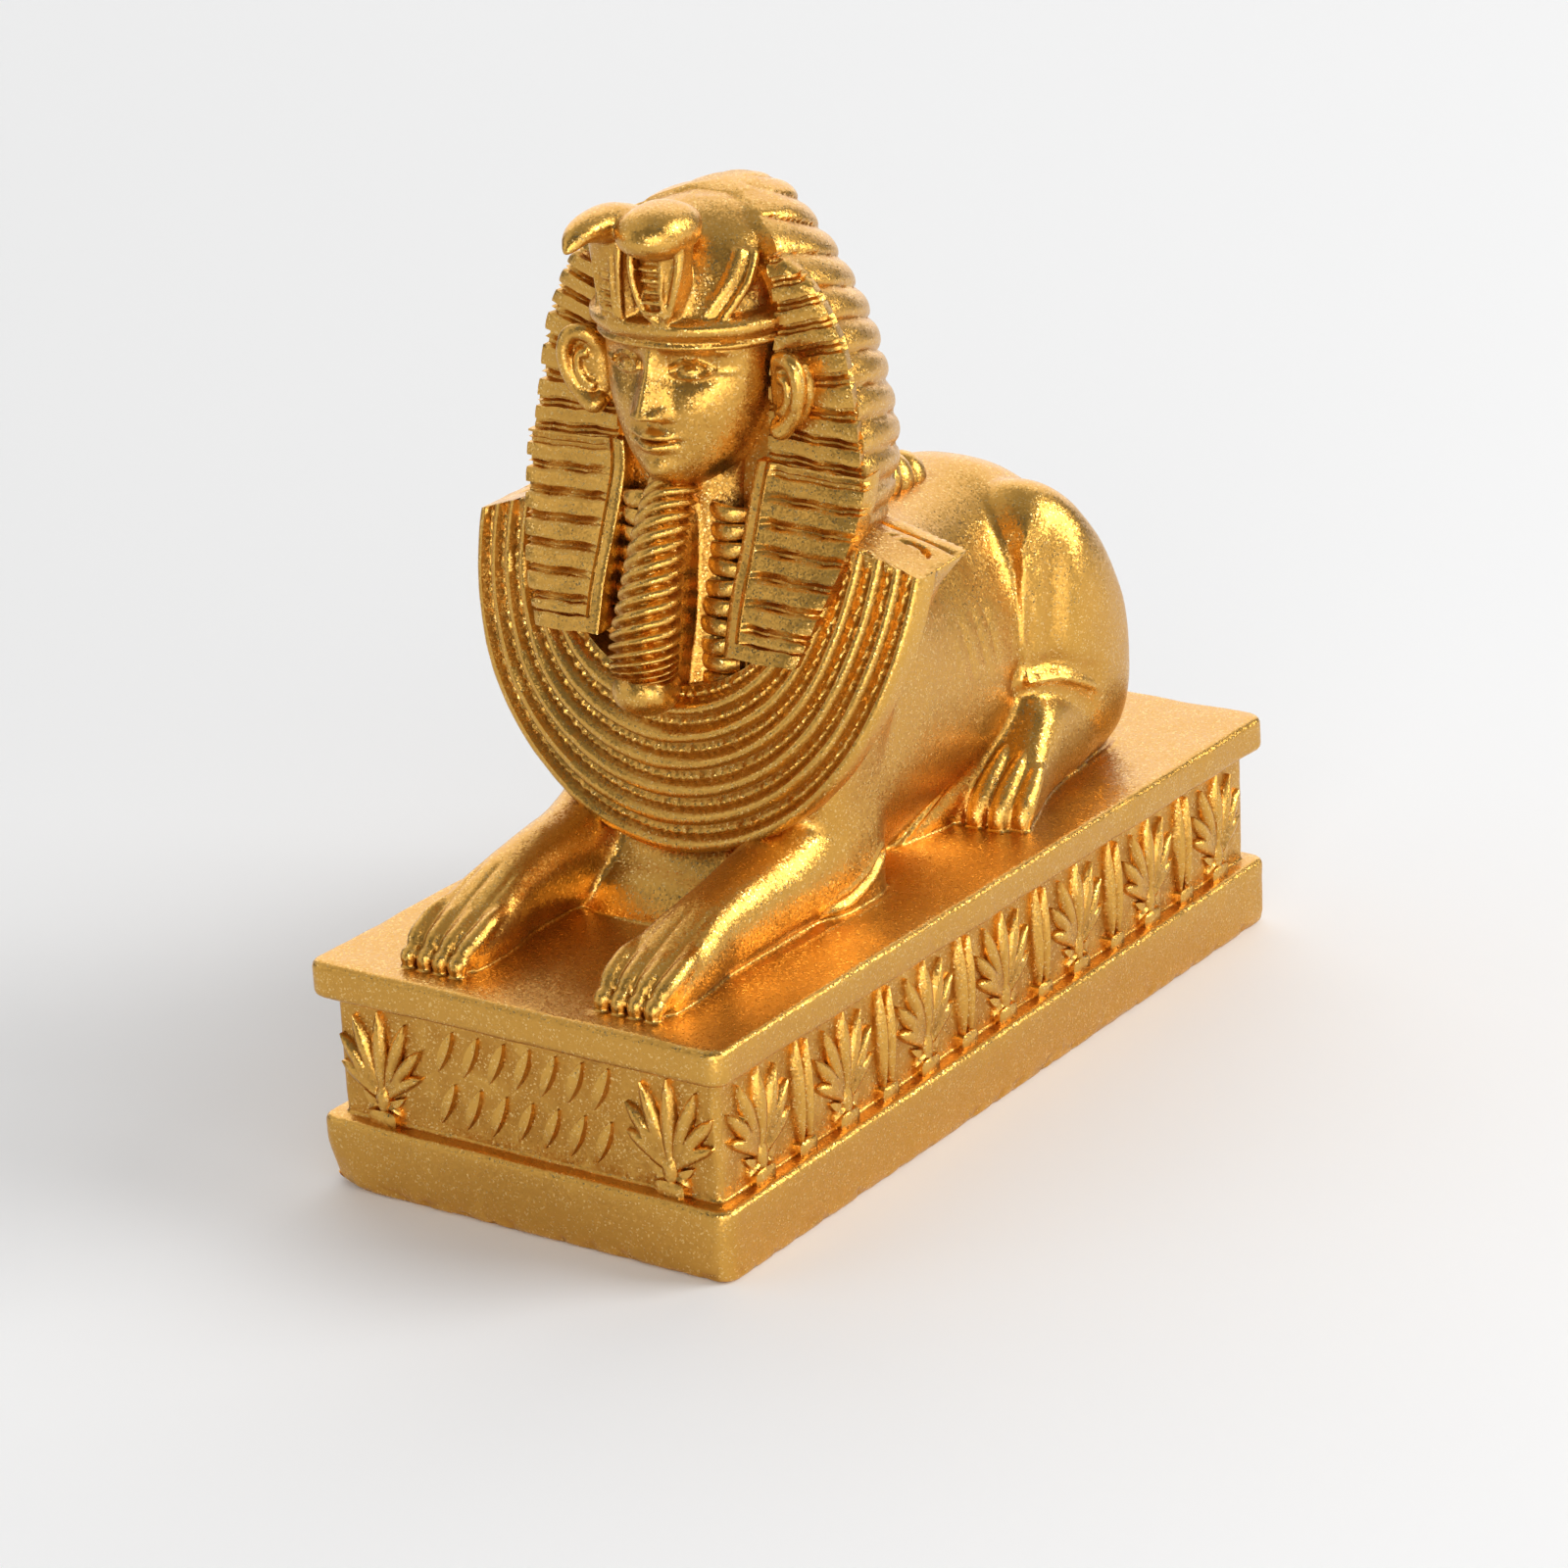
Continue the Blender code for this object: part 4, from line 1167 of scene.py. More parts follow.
@dataclass
class Face:
    """A calm, plain face of general proportions: thirds from brow to nose to chin, five eyes wide.

    It is an oval head with smooth bells added for each feature, so nothing on it is measured
    from a picture.
    """

    chin: float = 29.4
    third: float = 4.45
    eye_width: float = 2.5
    rows: Keys = (
        (28.6, 1.2, 2.6),
        (29.2, 2.6, 4.1),
        (30.6, 4.0, 4.9),
        (32.4, 5.0, 5.2),
        (34.6, 5.8, 5.15),
        (36.9, 6.2, 5.0),
        (39.8, 6.4, 5.2),
    )

    def relief(self, x: Array, z: Array) -> Array:
        """How far the features stand out.

        Args:
            x: Place across, whose sign doesn't matter.
            z: Height.

        Returns:
            Heights in millimetres: sums of bells, with the lids, brows and lips along arcs.
        """
        a = abs(x)
        nose, brow = self.chin + self.third, self.chin + 2 * self.third
        eye_x, eye_z = self.eye_width, brow - 1.25
        d = (a - eye_x) / (self.eye_width * 0.56)
        almond = np.clip(1 - d * d, 0.0, 1.0)
        seen = ramp(0.0, 0.15, almond)
        upper = eye_z + 0.66 * almond**0.8
        lower = eye_z - 0.46 * almond
        line = ridge(z - eye_z + 0.05 * (a - 3.9), 0.16) * ramp(3.7, 4.0, a) * ramp(5.4, 4.8, a)
        arch = brow + 0.1 + 0.3 * (1 - ((a - 2.6) / 2.4) ** 2)
        lift = -0.9 * ridge(a - 2.5, 1.7) * ridge(z - eye_z - 0.1, 0.95)
        lift += 0.72 * ridge(a - eye_x, 0.95) * ridge(z - eye_z, 0.4)
        lift += 0.42 * seen * (ridge(z - upper, 0.17) + 0.8 * ridge(z - lower, 0.15)) + 0.2 * line
        lift += 0.12 * ridge(np.hypot(a - eye_x, z - eye_z), 0.3)
        lift += 0.44 * ridge(z - arch, 0.24) * ramp(0.5, 1.2, a) * ramp(5.6, 4.4, a)
        fall = ramp(nose - 0.25, nose + 0.35, z)
        slope = 0.35 + 1.35 * np.clip((brow - z) / self.third, 0, 1.05)
        width = 0.62 + 0.42 * np.clip((brow - z) / self.third, 0, 1)
        lift += slope * fall * ridge(a, width) * ramp(brow + 1.4, brow - 0.6, z)
        lift += 0.55 * ridge(a - 0.95, 0.42) * ridge(z - nose - 0.42, 0.4)
        lift -= 0.3 * ridge(a - 0.45, 0.2) * ridge(z - nose + 0.02, 0.16)
        mouth = nose - self.third / 3
        lift += 0.6 * ridge(a, 1.4) * ridge(z - mouth - 0.36 - 0.05 * np.cos(2.4 * a), 0.32)
        lift += 0.66 * ridge(a, 1.15) * ridge(z - mouth + 0.38, 0.36)
        lift -= 0.34 * ridge(z - mouth - 0.03 * a * a, 0.1) * ramp(2.0, 1.4, a)
        lift -= 0.14 * ridge(a - 1.75, 0.25) * ridge(z - mouth, 0.25)
        lift -= 0.1 * ridge(a, 0.22) * ridge(z - nose + 0.55, 0.35)
        lift += 0.55 * ridge(a, 1.3) * ridge(z - self.chin - 0.9, 0.85)
        lift += 0.3 * ridge(a - 3.3, 1.7) * ridge(z - nose - 0.7, 1.6)
        return lift

    def build(self, mould: Mould) -> None:
        """Adds the head, the neck and the ears."""
        z, half, depth = hermite(self.rows, 104).T[:, :, None]
        turn = np.radians(np.concatenate([np.linspace(-96, 96, 97), np.linspace(110, 250, 8)]))[None, :]
        x = half * np.sin(turn)
        y = -10.4 - depth * np.cos(turn)
        y = y - self.relief(x, np.broadcast_to(z, x.shape)) * ramp(0.0, 0.5, np.cos(turn))
        mould.crisp.add(np.stack([x, y, np.broadcast_to(z, x.shape)], axis=-1))
        neck = (
            (14.0, 0, -10, 4.8, 5.8, 2.3),
            (24.0, 0, -9, 4.4, 4.6, 2.2),
            (31.0, 0, -9, 4.2, 4.0, 2.2),
        )
        mould.soft.add(upright(neck, 40, 48))
        self.build_ears(mould.soft)

    def build_ears(self, clay: Clay) -> None:
        """Adds each ear: a shallow dish, an outer rim, an inner curl and a lobe."""
        rim = (
            (7.0, -11.3, 36.6, 0.45, 0.5),
            (7.6, -11.9, 37.7, 0.5, 0.55),
            (8.7, -12.2, 37.7, 0.55, 0.6),
            (9.3, -12.3, 36.6, 0.55, 0.6),
            (9.1, -12.2, 35.0, 0.5, 0.6),
            (8.3, -12.0, 33.7, 0.5, 0.6),
            (7.4, -11.8, 33.0, 0.75, 0.7),
            (6.8, -11.4, 33.5, 0.4, 0.5),
        )
        curl = (
            (7.5, -12.0, 36.5, 0.25, 0.35),
            (8.2, -12.1, 36.3, 0.3, 0.35),
            (8.3, -12.1, 35.3, 0.3, 0.35),
            (7.8, -12.0, 34.4, 0.3, 0.35),
            (7.2, -11.8, 34.2, 0.3, 0.3),
        )
        dish = (
            (32.6, 7.3, -10.4, 0.4, 0.6, 2.0),
            (33.4, 7.6, -10.8, 1.2, 0.8, 2.0),
            (35.4, 8.0, -11.0, 1.7, 0.95, 2.0),
            (37.2, 8.0, -11.0, 1.4, 0.9, 2.0),
            (38.1, 7.9, -10.8, 0.5, 0.6, 2.0),
        )
        clay.add_pair(along_path(rim, 80, 20))
        clay.add_pair(along_path(curl, 40, 12))
        clay.add_pair(upright(dish, 30, 32))


@dataclass
class Beard:
    """A plaited beard, thicker towards its curled tip, joined to the chest by a web."""

    plait: Keys = (
        (0, -13.0, 29.4, 1.8, 1.6),
        (0, -15.2, 26.4, 1.95, 1.7),
        (0, -16.8, 22.6, 2.2, 1.85),
        (0, -17.9, 19.0, 2.5, 2.1),
        (0, -18.1, 17.0, 2.4, 1.9),
    )
    tip: Keys = (
        (0, -16.0, 16.0, 1.4, 1.5),
        (0, -17.2, 16.0, 2.0, 1.7),
        (0, -18.6, 16.2, 2.1, 1.7),
        (0, -19.6, 16.4, 1.6, 1.3),
        (0, -20.1, 16.5, 0.6, 0.5),
    )
    strand_pitch: float = 1.22
    web: Keys = (
        (14.6, 0, -15.6, 1.4, 1.6, 2.4),
        (19.0, 0, -15.2, 1.6, 2.6, 2.4),
        (24.0, 0, -13.6, 1.5, 2.8, 2.4),
        (28.6, 0, -11.6, 1.5, 1.6, 2.4),
    )

    def build(self, mould: Mould) -> None:
        """Adds the plait, its knob, the web and the bound strands beside it."""
        mould.crisp.add(along_path(self.plait, 130, 48, Twist(5, 17.0, 0.24, 2.2)))
        mould.soft.add(along_path(self.tip, 30, 40))
        mould.soft.add(upright(self.web, 40, 40))
        for z in np.arange(15.0, 27.4, self.strand_pitch):
            y = float(np.interp(z, (14.6, 20.0, 26.8), (-15.1, -14.5, -12.9)))
            lean, sunk = 0.16 * math.sin(7 * z), 0.2 * math.sin(11 * z)
            strand = (
                (2.2, y + 0.5 + sunk, z + lean, 0.2, 0.4),
                (2.8, y + sunk, z + lean, 0.3, 0.6),
                (4.0, y + sunk, z, 0.32, 0.6),
                (4.9, y + 0.6, z - lean, 0.24, 0.5),
            )
            mould.crisp.add_pair(along_path(strand, 8, 10))


@dataclass
class Crest:
    """The cobra with its hood and, beside it, the vulture with its beak."""

    scale_pitch: float = 0.72

    hood: Keys = (
        (39.6, 1.6, -14.6, 0.7, 1.1, 2.2),
        (40.8, 1.55, -14.8, 1.0, 1.35, 2.4),
        (42.2, 1.5, -15.0, 1.35, 1.4, 2.6),
        (43.8, 1.45, -15.1, 1.6, 1.4, 2.6),
        (45.4, 1.4, -15.0, 1.75, 1.4, 2.6),
        (46.6, 1.3, -14.6, 1.6, 1.2, 2.4),
    )
    rims: tuple[Keys, ...] = (
        (
            (-0.3, -16.3, 45.4, 0.34, 0.4),
            (-0.25, -16.6, 44.2, 0.3, 0.36),
            (0.0, -16.6, 42.6, 0.28, 0.34),
            (0.5, -16.4, 41.2, 0.26, 0.3),
            (1.5, -16.1, 40.3, 0.24, 0.26),
        ),
        (
            (3.2, -15.9, 45.4, 0.34, 0.4),
            (3.15, -16.1, 44.2, 0.32, 0.38),
            (2.85, -16.2, 42.8, 0.3, 0.36),
            (2.35, -16.2, 41.4, 0.26, 0.3),
            (1.6, -16.1, 40.3, 0.22, 0.24),
        ),
        (
            (-1.1, -16.6, 45.4, 0.26, 0.3),
            (-1.25, -16.6, 43.4, 0.24, 0.3),
            (-1.5, -16.3, 40.5, 0.2, 0.24),
        ),
        (
            (-3.4, -16.1, 45.4, 0.26, 0.3),
            (-3.3, -16.2, 43.4, 0.24, 0.3),
            (-3.0, -16.0, 40.5, 0.2, 0.24),
        ),
    )
    cobra_head: Keys = (
        (-12.3, 1.3, 46.2, 47.0, 0.5, 2.2),
        (-12.8, 1.3, 45.6, 47.6, 1.5, 2.2),
        (-14.2, 1.3, 44.9, 48.1, 2.3, 2.2),
        (-16.0, 1.35, 44.7, 48.1, 2.4, 2.2),
        (-17.4, 1.35, 44.9, 47.8, 2.1, 2.2),
        (-18.3, 1.35, 45.4, 47.2, 1.4, 2.1),
        (-18.7, 1.35, 46.0, 46.6, 0.5, 2.0),
    )
    neck: Keys = (
        (39.4, -2.0, -14.5, 1.3, 1.6, 2.4),
        (42.0, -2.2, -14.8, 1.6, 1.5, 2.6),
        (44.4, -2.3, -15.0, 1.8, 1.6, 2.6),
        (46.0, -2.2, -15.2, 1.7, 1.9, 2.4),
    )
    vulture_head: Keys = (
        (-12.3, -2.3, 46.0, 46.6, 0.4, 2.2),
        (-12.9, -2.3, 45.5, 47.1, 1.2, 2.2),
        (-15.2, -2.25, 45.2, 47.8, 1.65, 2.1),
        (-17.2, -2.2, 45.6, 47.9, 1.5, 2.0),
        (-19.0, -2.15, 46.0, 47.6, 1.15, 2.0),
        (-20.2, -2.1, 45.8, 47.1, 0.75, 2.0),
        (-20.8, -2.1, 45.7, 46.4, 0.35, 2.0),
        (-21.0, -2.1, 45.8, 46.0, 0.15, 2.0),
    )

    def build(self, mould: Mould) -> None:
        """Adds both creatures, with the rims and scales of their necks."""
        clay = mould.soft
        clay.add(upright(self.hood, 60, 48))
        clay.add(lengthwise(self.cobra_head, 80, 48))
        clay.add(upright(self.neck, 60, 40))
        clay.add(lengthwise(self.vulture_head, 80, 40))
        for rim in self.rims:
            clay.add(along_path(rim, 40, 12))
        for z in np.arange(41.2, 44.9, self.scale_pitch):
            lean = float(np.interp(z, (40.3, 45.2), (0.9, 0.0)))
            clay.add(self.bar((0.2 + lean * 0.6, -16.5, z), (1.7, -16.6, z + 0.05), 0.21))
            clay.add(self.bar((-3.0, -16.2, z), (-2.1, -16.5, z - 0.15), 0.19))
        clay.add(self.bar((1.95, -16.45, 40.9), (2.1, -16.5, 45.0), 0.16))
        clay.add(self.bar((-1.8, -16.45, 40.6), (-1.8, -16.6, 45.0), 0.18))

    @staticmethod
    def bar(start: tuple[float, ...], end: tuple[float, ...], radius: float) -> Array:
        """A round bar that bulges forward a little between its two ends."""
        low, high = np.array(start), np.array(end)
        at = np.array([0.0, 0.5, 1.0])[:, None]
        path = low + (high - low) * at - (0, 0.12, 0) * (1 - (2 * at - 1) ** 2)
        return along_path(np.column_stack([path, np.full((3, 2), radius)]), 14, 10)


# Finish


class Socket:
    """One output of a shader node, on which Python's operators add Math nodes."""

    def __init__(self, shader: "Shader", link: Any) -> None:
        """Keeps the node tree's helper and the output."""
        self.shader, self.link = shader, link

    def _with(self, operation: str, first: Any, second: Any) -> "Socket":
        """A Math node of two values."""
        return self.shader.node("ShaderNodeMath", {"operation": operation}, {0: first, 1: second})

    def __add__(self, other: Any) -> "Socket":
        """This plus another."""
        return self._with("ADD", self, other)

    def __radd__(self, other: Any) -> "Socket":
        """Another plus this."""
        return self._with("ADD", other, self)

    def __sub__(self, other: Any) -> "Socket":
        """This less another."""
        return self._with("SUBTRACT", self, other)

    def __rsub__(self, other: Any) -> "Socket":
        """Another less this."""
        return self._with("SUBTRACT", other, self)

    def __mul__(self, other: Any) -> "Socket":
        """This times another."""
        return self._with("MULTIPLY", self, other)

    def __rmul__(self, other: Any) -> "Socket":
        """Another times this."""
        return self._with("MULTIPLY", other, self)


class Shader:
    """A material's node tree, filled by one call for each node."""

    def __init__(self, name: str) -> None:
        """Starts an empty tree with an output."""
        self.material = bpy.data.materials.new(name)
        self.material.use_nodes = True
        self.tree = self.material.node_tree
        self.tree.nodes.clear()
        self.output = self.tree.nodes.new("ShaderNodeOutputMaterial")

    def node(
        self,
        kind: str,
        settings: dict[str, Any] | None = None,
        inputs: dict[Any, Any] | None = None,
        output: int | str = 0,
    ) -> Socket:
        """Adds a node.

        Args:
            kind: The node's type.
            settings: Its properties, set first. A list under "stops" fills a colour ramp.
            inputs: Values or sockets for its inputs, by name or number.
            output: Which output to return.

        Returns:
            The chosen output.
        """
        made = self.tree.nodes.new(kind)
        for key, value in (settings or {}).items():
            if key == "stops":
                self._fill(made.color_ramp, value)
            else:
                setattr(made, key, value)
        for key, value in (inputs or {}).items():
            if isinstance(value, Socket):
                self.tree.links.new(value.link, made.inputs[key])
            else:
                made.inputs[key].default_value = value
        return Socket(self, made.outputs[output])

    @staticmethod
    def _fill(ramp_data: Any, stops: Sequence[tuple[float, Any]]) -> None:
        """Sets a colour ramp's stops, each a place and a colour."""
        while len(ramp_data.elements) < len(stops):
            ramp_data.elements.new(0.5)
        for element, (place, colour) in zip(ramp_data.elements, stops):
            element.position, element.color = place, colour

    def finish(self, surface: Socket) -> bpy.types.Material:
        """Joins the surface to the output and returns the material."""
        self.tree.links.new(surface.link, self.output.inputs["Surface"])
        return self.material


@dataclass(frozen=True)
class GoldPaint:
    """Satin gold paint full of fine flake over cast resin, with painted shade that darkens its hollows."""

    base: Colour = (0.70, 0.385, 0.08, 1.0)
    # deep is painted shade: the darker colour put into hollows and creases where pointiness is low.
    deep: Colour = (0.42, 0.165, 0.02, 1.0)
    # pale is the flakes' colour: partly their own lighter metal, partly a painted glint.
    pale: Colour = (0.86, 0.58, 0.22, 1.0)
    roughness: float = 0.3
    flake_scale: float = 9000.0
    flake_tilt: float = 0.22
    flake_share: float = 0.75
    flake_ends: tuple[float, float] = (0.86, 0.97)
    # Pointiness ends of the painted shade: below the first the colour is deep, above the second it is base.
    shade_ends: tuple[float, float] = (0.42, 0.54)
    grain_scale: float = 3800.0
    grain_strength: float = 0.35
    grain_height: float = 0.00004
    patch_scale: float = 160.0
    patch_share: float = 0.5

    @staticmethod
    def noise(s: Shader, place: Any, scale: float, detail: float, roughness: float) -> Any:
        """Smooth noise over the piece's own coordinates."""
        inputs = {"Vector": place, "Scale": scale, "Detail": detail, "Roughness": roughness}
        return s.node("ShaderNodeTexNoise", None, inputs)

    @staticmethod
    def step(s: Shader, value: Any, ends: tuple[float, float]) -> Any:
        """Black below the first end and white above the second."""
        stops = [(ends[0], (0, 0, 0, 1)), (ends[1], (1, 1, 1, 1))]
        return s.node("ShaderNodeValToRGB", {"stops": stops}, {"Fac": value})

    @staticmethod
    def blend(s: Shader, share: Any, low: Any, high: Any) -> Any:
        """Two colours mixed by a share of the second."""
        return s.node("ShaderNodeMix", {"data_type": "RGBA"}, {"Factor": share, 6: low, 7: high}, 2)

    @staticmethod
    def vector(s: Shader, operation: str, inputs: dict[Any, Any]) -> Any:
        """A step of vector arithmetic."""
        return s.node("ShaderNodeVectorMath", {"operation": operation}, inputs)

    def facing(self, s: Shader, flake: Any, grain: Any) -> Any:
        """The surface's direction: fine grain as bumps, and each flake leaning its own way.

        Args:
            s: The shader.
            flake: A random colour for each flake.
            grain: Fine noise.

        Returns:
            The direction, of unit length.
        """
        inputs = {"Strength": self.grain_strength, "Distance": self.grain_height, "Height": grain}
        bump = s.node("ShaderNodeBump", None, inputs, "Normal")
        lean = self.vector(s, "SUBTRACT", {0: flake, 1: (0.5, 0.5, 0.5)})
        tilt = self.vector(s, "SCALE", {0: lean, "Scale": self.flake_tilt})
        return self.vector(s, "NORMALIZE", {0: self.vector(s, "ADD", {0: bump, 1: tilt})})

    def material(self) -> bpy.types.Material:
        """The paint: painted shade darkens it in hollows, noise patches tint it, flakes turn the normal and
        pale its colour, partly as a painted glint, and fine grain roughens it.

        Returns:
            The material.
        """
        s = Shader("gold_paint")
        place = s.node("ShaderNodeTexCoord", output="Object")
        patch = self.noise(s, place, self.patch_scale, 4.0, 0.6)
        grain = self.noise(s, place, self.grain_scale, 3.0, 0.65)
        cells = {"Vector": place, "Scale": self.flake_scale}
        flake = s.node("ShaderNodeTexVoronoi", {"feature": "F1"}, cells, "Color")
        bright = s.node("ShaderNodeSeparateColor", None, {"Color": flake}, "Red")
        # Flake cells that turn pale: partly the flakes' own colour, partly a painted glint.
        flake_glint = self.step(s, bright, self.flake_ends)
        # Painted shade: where pointiness is low, in hollows and creases, the colour darkens towards deep.
        hollow = s.node("ShaderNodeNewGeometry", output="Pointiness")
        shaded_tone = self.blend(s, self.step(s, hollow, self.shade_ends), self.deep, self.base)
        mottled = self.blend(s, patch * self.patch_share, shaded_tone, self.base)
        colour = self.blend(s, flake_glint * self.flake_share, mottled, self.pale)
        rough = (self.roughness - 0.06) + patch * 0.08 + grain * 0.1 - flake_glint * 0.12
        normal = self.facing(s, flake, grain)
        inputs = {"Base Color": colour, "Metallic": 1.0, "Roughness": rough, "Normal": normal}
        return s.finish(s.node("ShaderNodeBsdfPrincipled", None, inputs))


# The casting


@dataclass
class Casting:
    """The whole statue: its forms joined into one skin, carved, thinned and painted."""

    name: str = "statue_casting"
    voxel: float = 0.12
    smoothing: int = 1
    soft_triangles: int = 82000
    crease: float = 55.0
    swell: Waver = Waver(3.4, 11)
    ripple: Waver = Waver(1.1, 12)
    nick: Waver = Waver(0.8, 13)
    swell_height: float = 0.07
    ripple_height: float = 0.022
    nick_depth: float = 0.5
    worn_corner: tuple[float, float, float] = (-16.5, -35.0, 0.0)
    corner_depth: float = 0.8
    corner_reach: float = 3.6

    def worn(self, points: Array, normals: Array) -> Array:
        """How deep the hand-cast surface lies below true.

        Swells and ripples that fade out at the underside, nicks along the foot's edge, and one
        rounded corner.

        Args:
            points: Places in millimetres.
            normals: The skin's directions there.

        Returns:
            Depths in millimetres.
        """
        depth = self.swell_height * self.swell(points) + self.ripple_height * self.ripple(points)
        upright_face = np.clip(1 - abs(normals[:, 2]) ** 2, 0, 1)
        foot = ramp(1.0, 0.1, points[:, 2]) * upright_face
        under = ramp(0.02, 0.6, points[:, 2])
        away = np.linalg.norm(points - self.worn_corner, axis=1)
        depth = depth * under + self.corner_depth * ramp(self.corner_reach, 0.0, away)
        return depth + self.nick_depth * foot * np.clip(self.nick(points), 0, 1)

    @staticmethod
    def push(mesh: bpy.types.Mesh, depth_at: Callable[[Array, Array], Array]) -> None:
        """Moves a surface inwards along its normals.

        Args:
            mesh: The surface.
            depth_at: Gives depths from places in millimetres and the directions there.
        """
        points, normals = read_points(mesh) / METRE, read_normals(mesh)
        moved = (points - normals * depth_at(points, normals)[:, None]) * METRE
        mesh.vertices.foreach_set("co", moved.astype(np.float32).ravel())
        mesh.update()

    def carve(self, mesh: bpy.types.Mesh, *depths: Callable[[Array], Array]) -> None:
        """Cuts grooves and hollows into the skin.

        Args:
            mesh: The skin.
            depths: Functions of places in the figure's frame that give a depth.
        """
        base = (0.0, 0.0, PLINTH_TOP)
        self.push(mesh, lambda points, _: sum(carving(points - base) for carving in depths))

    def weather(self, mesh: bpy.types.Mesh) -> None:
        """Gives the whole surface the unevenness of a hand-poured casting."""
        self.push(mesh, self.worn)

    def build(self) -> bpy.types.Object:
        """Builds the statue's mesh as one object at the origin."""
        plinth, lion, collar, crown = Plinth(), Lion(), Collar(), Crown()
        mould = Mould(Clay(), Clay())
        for part in (plinth, Frieze(plinth), lion, collar, Headcloth(), crown, Face(), Beard(), Crest()):
            part.build(mould)
            log.info("modelled %s", type(part).__name__)
        mesh = fused(mould.soft, self.voxel, self.smoothing)
        log.info("joined into %d faces", len(mesh.polygons))
        depths = (lion.toe_depth, lion.flank_depth, lion.haunch_depth, lion.elbow_depth)
        self.carve(mesh, *depths, collar.strap_depth, crown.depth)
        self.weather(mesh)
        share = self.soft_triangles / (2 * len(mesh.polygons))
        mesh = modified(mesh, ("DECIMATE", {"ratio": share, "use_collapse_triangulate": True}))
        crisp = mould.crisp.collection("crisp")
        for form in crisp.objects:
            self.weather(form.data)
        union = {"operation": "UNION", "operand_type": "COLLECTION", "collection": crisp}
        mesh = modified(mesh, ("BOOLEAN", {**union, "solver": "MANIFOLD"}), ("TRIANGULATE", {}))
        log.info("united into %d triangles", len(mesh.polygons))
        mesh.name = self.name
        mesh.materials.clear()
        mesh.shade_smooth()
        mesh.set_sharp_from_angle(angle=math.radians(self.crease))
        statue = bpy.data.objects.new(self.name, mesh)
        bpy.context.scene.collection.objects.link(statue)
        mesh.materials.append(GoldPaint().material())
        log.info("%s has %d triangles", self.name, len(mesh.polygons))
        return statue


# Studio


@dataclass(frozen=True)
class SoftBox:
    """A square area light that looks at the statue: bearing, height and distance from it."""

    name: str
    azimuth: float
    elevation: float
    distance: float
    size: float
    watts: float
    colour: tuple[float, float, float] = (1.0, 1.0, 1.0)

    def place(self, target: Vector) -> None:
        """Adds the light, turned to the target."""
        a, e = math.radians(self.azimuth), math.radians(self.elevation)
        away = Vector((math.sin(a) * math.cos(e), -math.cos(a) * math.cos(e), math.sin(e)))
        data = bpy.data.lights.new(self.name, "AREA")
        data.energy, data.size, data.color = self.watts, self.size, self.colour
        light = bpy.data.objects.new(self.name, data)
        light.location = target + away * self.distance
        light.rotation_mode = "QUATERNION"
        light.rotation_quaternion = away.to_track_quat("Z", "Y")
        bpy.context.scene.collection.objects.link(light)


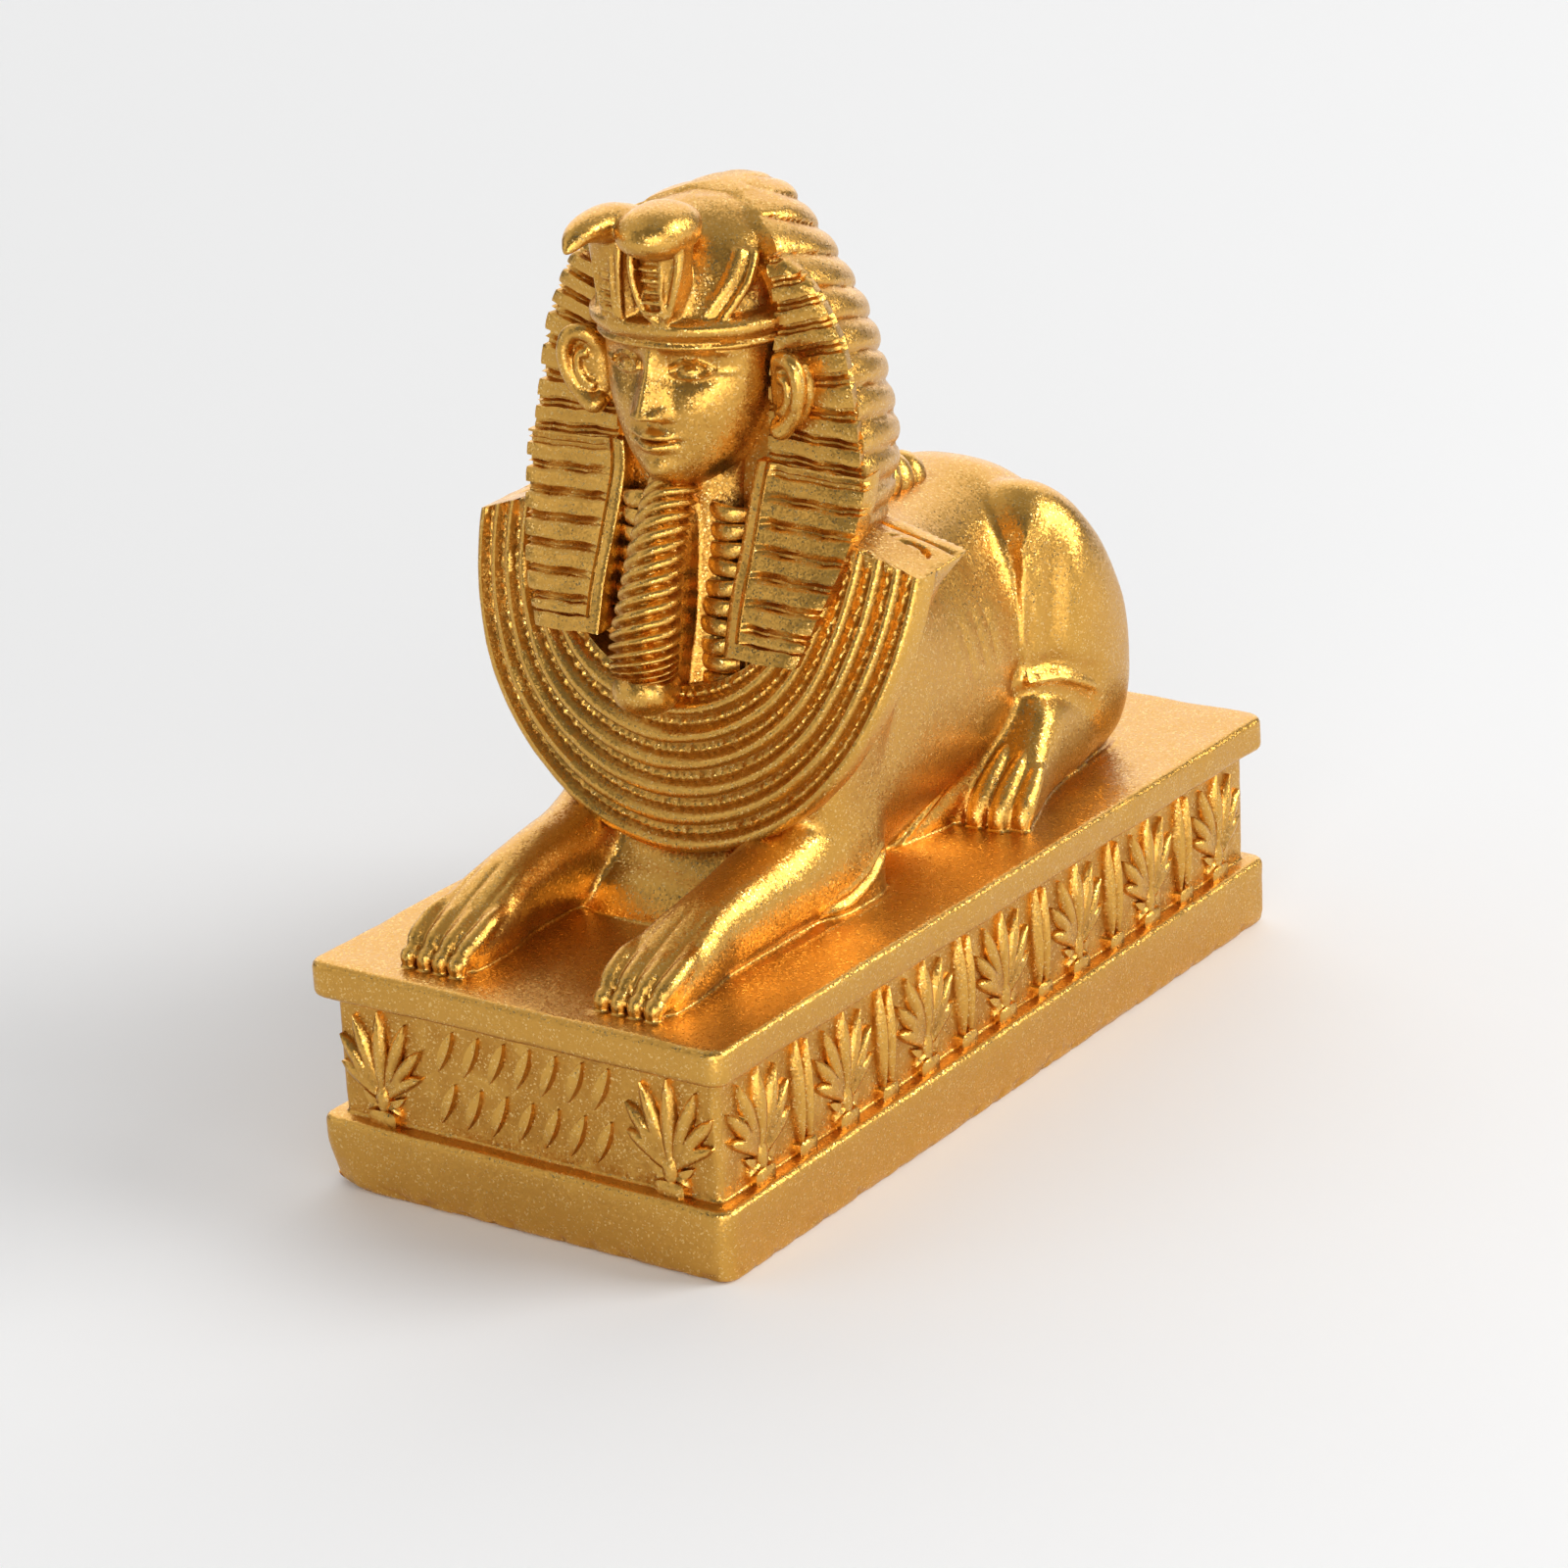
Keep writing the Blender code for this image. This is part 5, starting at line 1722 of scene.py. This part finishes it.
@dataclass
class Studio:
    """A pale floor, soft lights and the camera at the photograph's angle."""

    lens: float = 115.88
    azimuth: float = 35.013
    elevation: float = 20.431
    roll_angle: float = -2.843
    distance: float = 0.348934
    target: tuple[float, float, float] = (-0.001984, 0.0, 0.019136)
    world_strength: float = 0.12
    floor_half: float = 2.0
    floor_drop: float = 0.00002
    floor_colour: Colour = (0.9, 0.9, 0.9, 1.0)
    boxes: tuple[SoftBox, ...] = (
        SoftBox("back_panel", 214, 20, 0.95, 1.3, 7.6),
        SoftBox("key_box", 122, 30, 0.8, 0.5, 4.8),
        SoftBox("top_panel", 160, 78, 0.9, 0.9, 0.8),
        SoftBox("left_panel", -45, 12, 0.9, 0.6, 0.8),
        SoftBox("left_high", -70, 45, 0.7, 0.7, 0.9),
        SoftBox("front_low", 30, 12, 0.5, 0.3, 1.0),
        SoftBox("right_low", 65, 12, 0.5, 0.3, 0.6),
    )

    def add_camera(self) -> None:
        """Adds the camera, looking back along its bearing and turned by its roll."""
        a, e, r = (math.radians(v) for v in (self.azimuth, self.elevation, self.roll_angle))
        back = Vector((math.sin(a) * math.cos(e), -math.cos(a) * math.cos(e), math.sin(e)))
        right = (-back).cross(Vector((0, 0, 1))).normalized()
        up = right.cross(-back)
        right, up = (
            math.cos(r) * right + math.sin(r) * up,
            -math.sin(r) * right + math.cos(r) * up,
        )
        data = bpy.data.cameras.new("camera")
        data.lens, data.sensor_width = self.lens, 36.0
        data.clip_start, data.clip_end = 0.01, 10.0
        camera = bpy.data.objects.new("camera", data)
        turn = Matrix((right, up, back)).transposed()
        camera.matrix_world = Matrix.Translation(Vector(self.target) + back * self.distance) @ turn.to_4x4()
        bpy.context.scene.collection.objects.link(camera)
        bpy.context.scene.camera = camera

    def add_floor(self) -> None:
        """Adds the pale floor just under the plinth."""
        half = self.floor_half
        mesh = bpy.data.meshes.new("floor")
        corners = [(-half, -half, 0), (half, -half, 0), (half, half, 0), (-half, half, 0)]
        mesh.from_pydata([(x, y, -self.floor_drop) for x, y, _ in corners], [], [(0, 1, 2, 3)])
        floor = bpy.data.objects.new("floor", mesh)
        bpy.context.scene.collection.objects.link(floor)
        s = Shader("floor")
        inputs = {"Base Color": self.floor_colour, "Roughness": 0.8}
        surface = s.node("ShaderNodeBsdfPrincipled", None, inputs)
        mesh.materials.append(s.finish(surface))

    def add_world(self) -> None:
        """Sets the even pale surroundings."""
        world = bpy.data.worlds.new("surroundings")
        world.use_nodes = True
        background = world.node_tree.nodes["Background"]
        background.inputs["Color"].default_value = (1, 1, 1, 1)
        background.inputs["Strength"].default_value = self.world_strength
        bpy.context.scene.world = world

    def build(self) -> None:
        """Adds everything and sets plain colour handling."""
        self.add_camera()
        self.add_floor()
        self.add_world()
        for box in self.boxes:
            box.place(Vector(self.target))
        bpy.context.scene.view_settings.view_transform = "Standard"


def main() -> None:
    """Builds the studio and the statue."""
    logging.basicConfig(level=logging.INFO, format="%(name)s: %(message)s")
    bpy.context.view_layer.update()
    Studio().build()
    statue = Casting().build()
    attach(statue, "root")
    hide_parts(STATUE)
    log.info("%s stands for %s", statue.name, STATUE)


if __name__ == "__main__":
    main()
